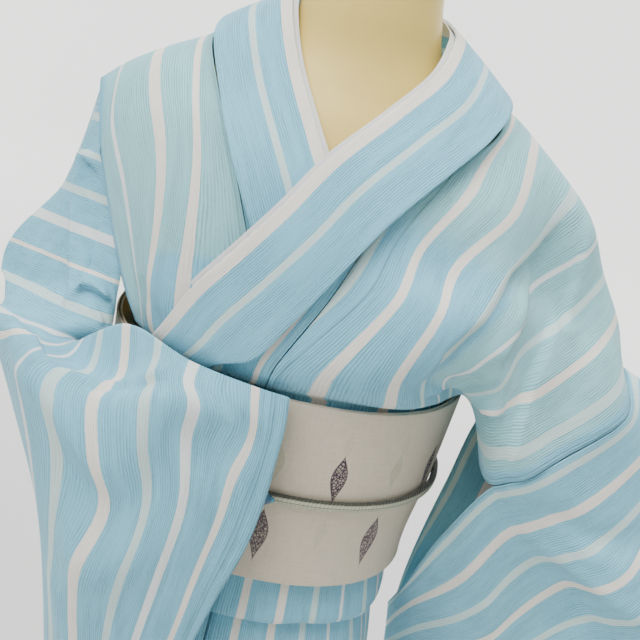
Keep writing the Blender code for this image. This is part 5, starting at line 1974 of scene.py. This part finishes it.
def capped_object(name: str, rings: Array) -> bpy.types.Object:
    """Closed tube through stacked rings.

    Args:
        name: the object's name.
        rings: (rows, sides, 3), from one end to the other.

    Returns:
        The object, its UV map running round from 0 to 1 and along in metres.
    """
    rows, sides = rings.shape[:2]
    end = rows * sides
    faces = quads(rows, sides, True).tolist()
    faces += fan(0, sides, end, flip=True) + fan(end - sides, sides, end + 1)
    uv = np.stack([np.tile(np.arange(sides) / sides, rows),
                   np.repeat(lengths(rings.mean(axis=1)), sides)], 1)
    uv = np.vstack([uv, [[0.0, 0.0], [0.0, 1.0]]])
    points = np.vstack([rings.reshape(-1, 3), rings[0].mean(axis=0), rings[-1].mean(axis=0)])
    obj = mesh_object(name, points, faces, {"uv": uv})
    bpy.ops.object.mode_set(mode="EDIT")
    bpy.ops.mesh.select_all(action="SELECT")
    bpy.ops.mesh.normals_make_consistent(inside=False)
    bpy.ops.object.mode_set(mode="OBJECT")
    return obj


@dataclass
class DressForm:
    """Limbless torso and neck on a pole and a round base."""

    shell: Shell = Shell((0.860, 0.640, 0.175), 0.40)
    pole: Shell = Shell((0.62, 0.62, 0.60), 0.28, 1.0, 12.0)
    base: Shell = Shell((0.66, 0.66, 0.64), 0.42)
    sides: int = 96
    power: float = 2.1

    def build(self) -> None:
        """Smooth torso; the pole and the base keep their CAD shape."""
        heights = [row.z for row in FORM]
        rows = [row[1:] for row in FORM]
        levels = np.concatenate([np.linspace(0.860, 1.20, 30)[:-1],
                                 np.linspace(1.20, 1.455, 60), [1.459, 1.463, 1.467, 1.470]])
        angle = np.linspace(0.0, 2 * math.pi, self.sides, endpoint=False)
        rings = []
        for z, (centre_x, *sizes) in zip(levels, curve(heights, rows, levels)):
            x, y = oval(angle, *sizes, self.power)
            rings.append(np.column_stack([centre_x + x, y, np.full(self.sides, z)]))
        obj = capped_object("form_torso_shell", np.array(rings))
        Piece("form_torso", "form_shell", obj).place(self.shell.material("pale_yellow_shell"))
        for node, finish in (("form_pole", self.pole), ("form_base", self.base)):
            obj = bpy.data.objects[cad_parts[node].name]
            mat = finish.material(node + "_finish")
            for item in obj.material_slots:
                item.material = mat
            LOG.info("%s keeps its CAD shape", obj.name)


def stand(obj: bpy.types.Object, axes: Sequence[Array], place: Sequence[float]) -> None:
    """Turn an object's own axes and put it in its place."""
    columns = np.column_stack([*axes, place])
    obj.matrix_world = Matrix(np.vstack([columns, [0, 0, 0, 1]]).tolist())


@dataclass(frozen=True)
class Lamp:
    """Soft area light.

    Args:
        name: the light's name.
        place: metres.
        target: point that it faces.
        size: side, metres.
        power: watts.
        colour: RGB.
    """

    name: str
    place: tuple[float, float, float]
    target: tuple[float, float, float]
    size: float
    power: float
    colour: tuple[float, float, float] = (1.0, 1.0, 1.0)

    def build(self) -> None:
        """Light in the scene."""
        data = bpy.data.lights.new(self.name, "AREA")
        data.shape = "SQUARE"
        data.size = self.size
        data.energy = self.power
        data.color = self.colour
        back = unit(np.array(self.place) - np.array(self.target))
        right = unit(np.cross((0.0, 0.0, 1.0), back))
        stand(linked(self.name, data), (right, np.cross(back, right), back), self.place)


@dataclass
class Studio:
    """Pale floor that curves up into a wall, soft lights and the photo's camera."""

    focal_pixels: float = 1122.0
    frame_pixels: float = 640.0
    sensor: float = 36.0
    place: tuple[float, float, float] = (0.019, -0.839, 1.432)
    pitch: float = 0.339
    yaw: float = -0.002
    roll: float = 0.254
    floor_radius: float = 5.5
    cove: float = 1.5
    wall_height: float = 5.0
    sides: int = 96
    paint: tuple[float, float, float] = (0.80, 0.805, 0.785)
    air: tuple[float, float, float] = (0.93, 0.96, 1.0)
    air_strength: float = 0.52
    lamps: tuple[Lamp, ...] = (
        Lamp("key", (-0.9, -1.3, 3.4), (0.0, 0.0, 1.1), 1.7, 82.0, (1.0, 0.995, 0.98)),
        Lamp("fill", (-2.4, -1.6, 1.7), (0.0, 0.0, 1.1), 2.2, 4.0, (0.97, 0.99, 1.0)),
        Lamp("top", (0.3, 0.3, 3.4), (0.0, 0.0, 1.0), 2.4, 64.0),
        Lamp("wall_left", (-2.6, 3.2, 3.4), (-2.2, 6.6, 0.9), 2.2, 260.0),
        Lamp("wall_right", (2.6, 3.2, 3.4), (2.2, 6.6, 0.9), 2.2, 260.0),
    )

    def camera(self) -> None:
        """Camera at the photo's angle."""
        forward = np.array([math.sin(self.yaw) * math.cos(self.pitch),
                            math.cos(self.yaw) * math.cos(self.pitch), -math.sin(self.pitch)])
        right = np.array([math.cos(self.yaw), -math.sin(self.yaw), 0.0])
        up = np.cross(right, forward)
        turned = math.cos(self.roll) * right + math.sin(self.roll) * up
        raised = -math.sin(self.roll) * right + math.cos(self.roll) * up
        data = bpy.data.cameras.new("photo_camera")
        data.sensor_width = self.sensor
        data.lens = self.sensor * self.focal_pixels / self.frame_pixels
        data.clip_start = 0.05
        obj = linked("photo_camera", data)
        stand(obj, (turned, raised, -forward), self.place)
        bpy.context.scene.camera = obj

    def floor(self) -> None:
        """Round floor with a cove and a wall all round."""
        profile = [(self.floor_radius, 0.0)]
        for a in np.linspace(0.0, math.pi / 2, 12)[1:]:
            profile.append((self.floor_radius + self.cove * math.sin(a),
                            self.cove - self.cove * math.cos(a)))
        profile.append((self.floor_radius + self.cove, self.wall_height))
        angle = np.linspace(0.0, 2 * math.pi, self.sides, endpoint=False)
        rings = [np.column_stack([radius * np.cos(angle), radius * np.sin(angle),
                                  np.full(self.sides, z)]) for radius, z in profile]
        faces = quads(len(rings), self.sides, True)[:, [0, 3, 2, 1]].tolist()
        faces += fan(0, self.sides, len(rings) * self.sides)
        obj = mesh_object("studio_floor", np.vstack([*rings, [[0.0, 0.0, 0.0]]]), faces, {})
        mat, g, shader = plain_material("studio_paint")
        drift = g.times(g.noise(g.place(), 0.6), 0.03, 0.985)
        g.feed_all(shader, {"Base Color": g.tint(self.paint, drift), "Roughness": 0.9})
        obj.data.materials.append(mat)

    def build(self) -> None:
        """Everything round the garment."""
        self.camera()
        self.floor()
        for lamp in self.lamps:
            lamp.build()
        world = bpy.data.worlds.new("studio_air")
        world.use_nodes = True
        shade = world.node_tree.nodes["Background"]
        shade.inputs["Color"].default_value = rgba(self.air)
        shade.inputs["Strength"].default_value = self.air_strength
        bpy.context.scene.world = world


def main() -> None:
    """Build and dress every piece."""
    logging.basicConfig(level=logging.INFO, format="%(name)s %(message)s")
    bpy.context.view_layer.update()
    effects = Effects()
    crepe = Crepe(effects)
    Studio().build()
    DressForm().build()
    left, right = Side(True), Side(False)
    for side in (right, left):
        BodyPanel(side).build(crepe)
        Overlap(side).build(crepe)
    for side in (right, left):
        SleeveBag(side).build(crepe)
    CollarBand().build(crepe)
    CollarLining().build(effects)
    Belt().build(effects)
    Drum().build(effects)
    Tail().build(effects)
    TiedCord().build()
    Clasp().build()


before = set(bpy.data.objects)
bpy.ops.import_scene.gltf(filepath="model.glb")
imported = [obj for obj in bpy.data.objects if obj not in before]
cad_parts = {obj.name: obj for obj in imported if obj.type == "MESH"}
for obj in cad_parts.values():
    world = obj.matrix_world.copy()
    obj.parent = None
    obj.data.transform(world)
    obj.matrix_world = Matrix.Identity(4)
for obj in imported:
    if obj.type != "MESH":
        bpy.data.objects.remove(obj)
if __name__ == "__main__":
    main()
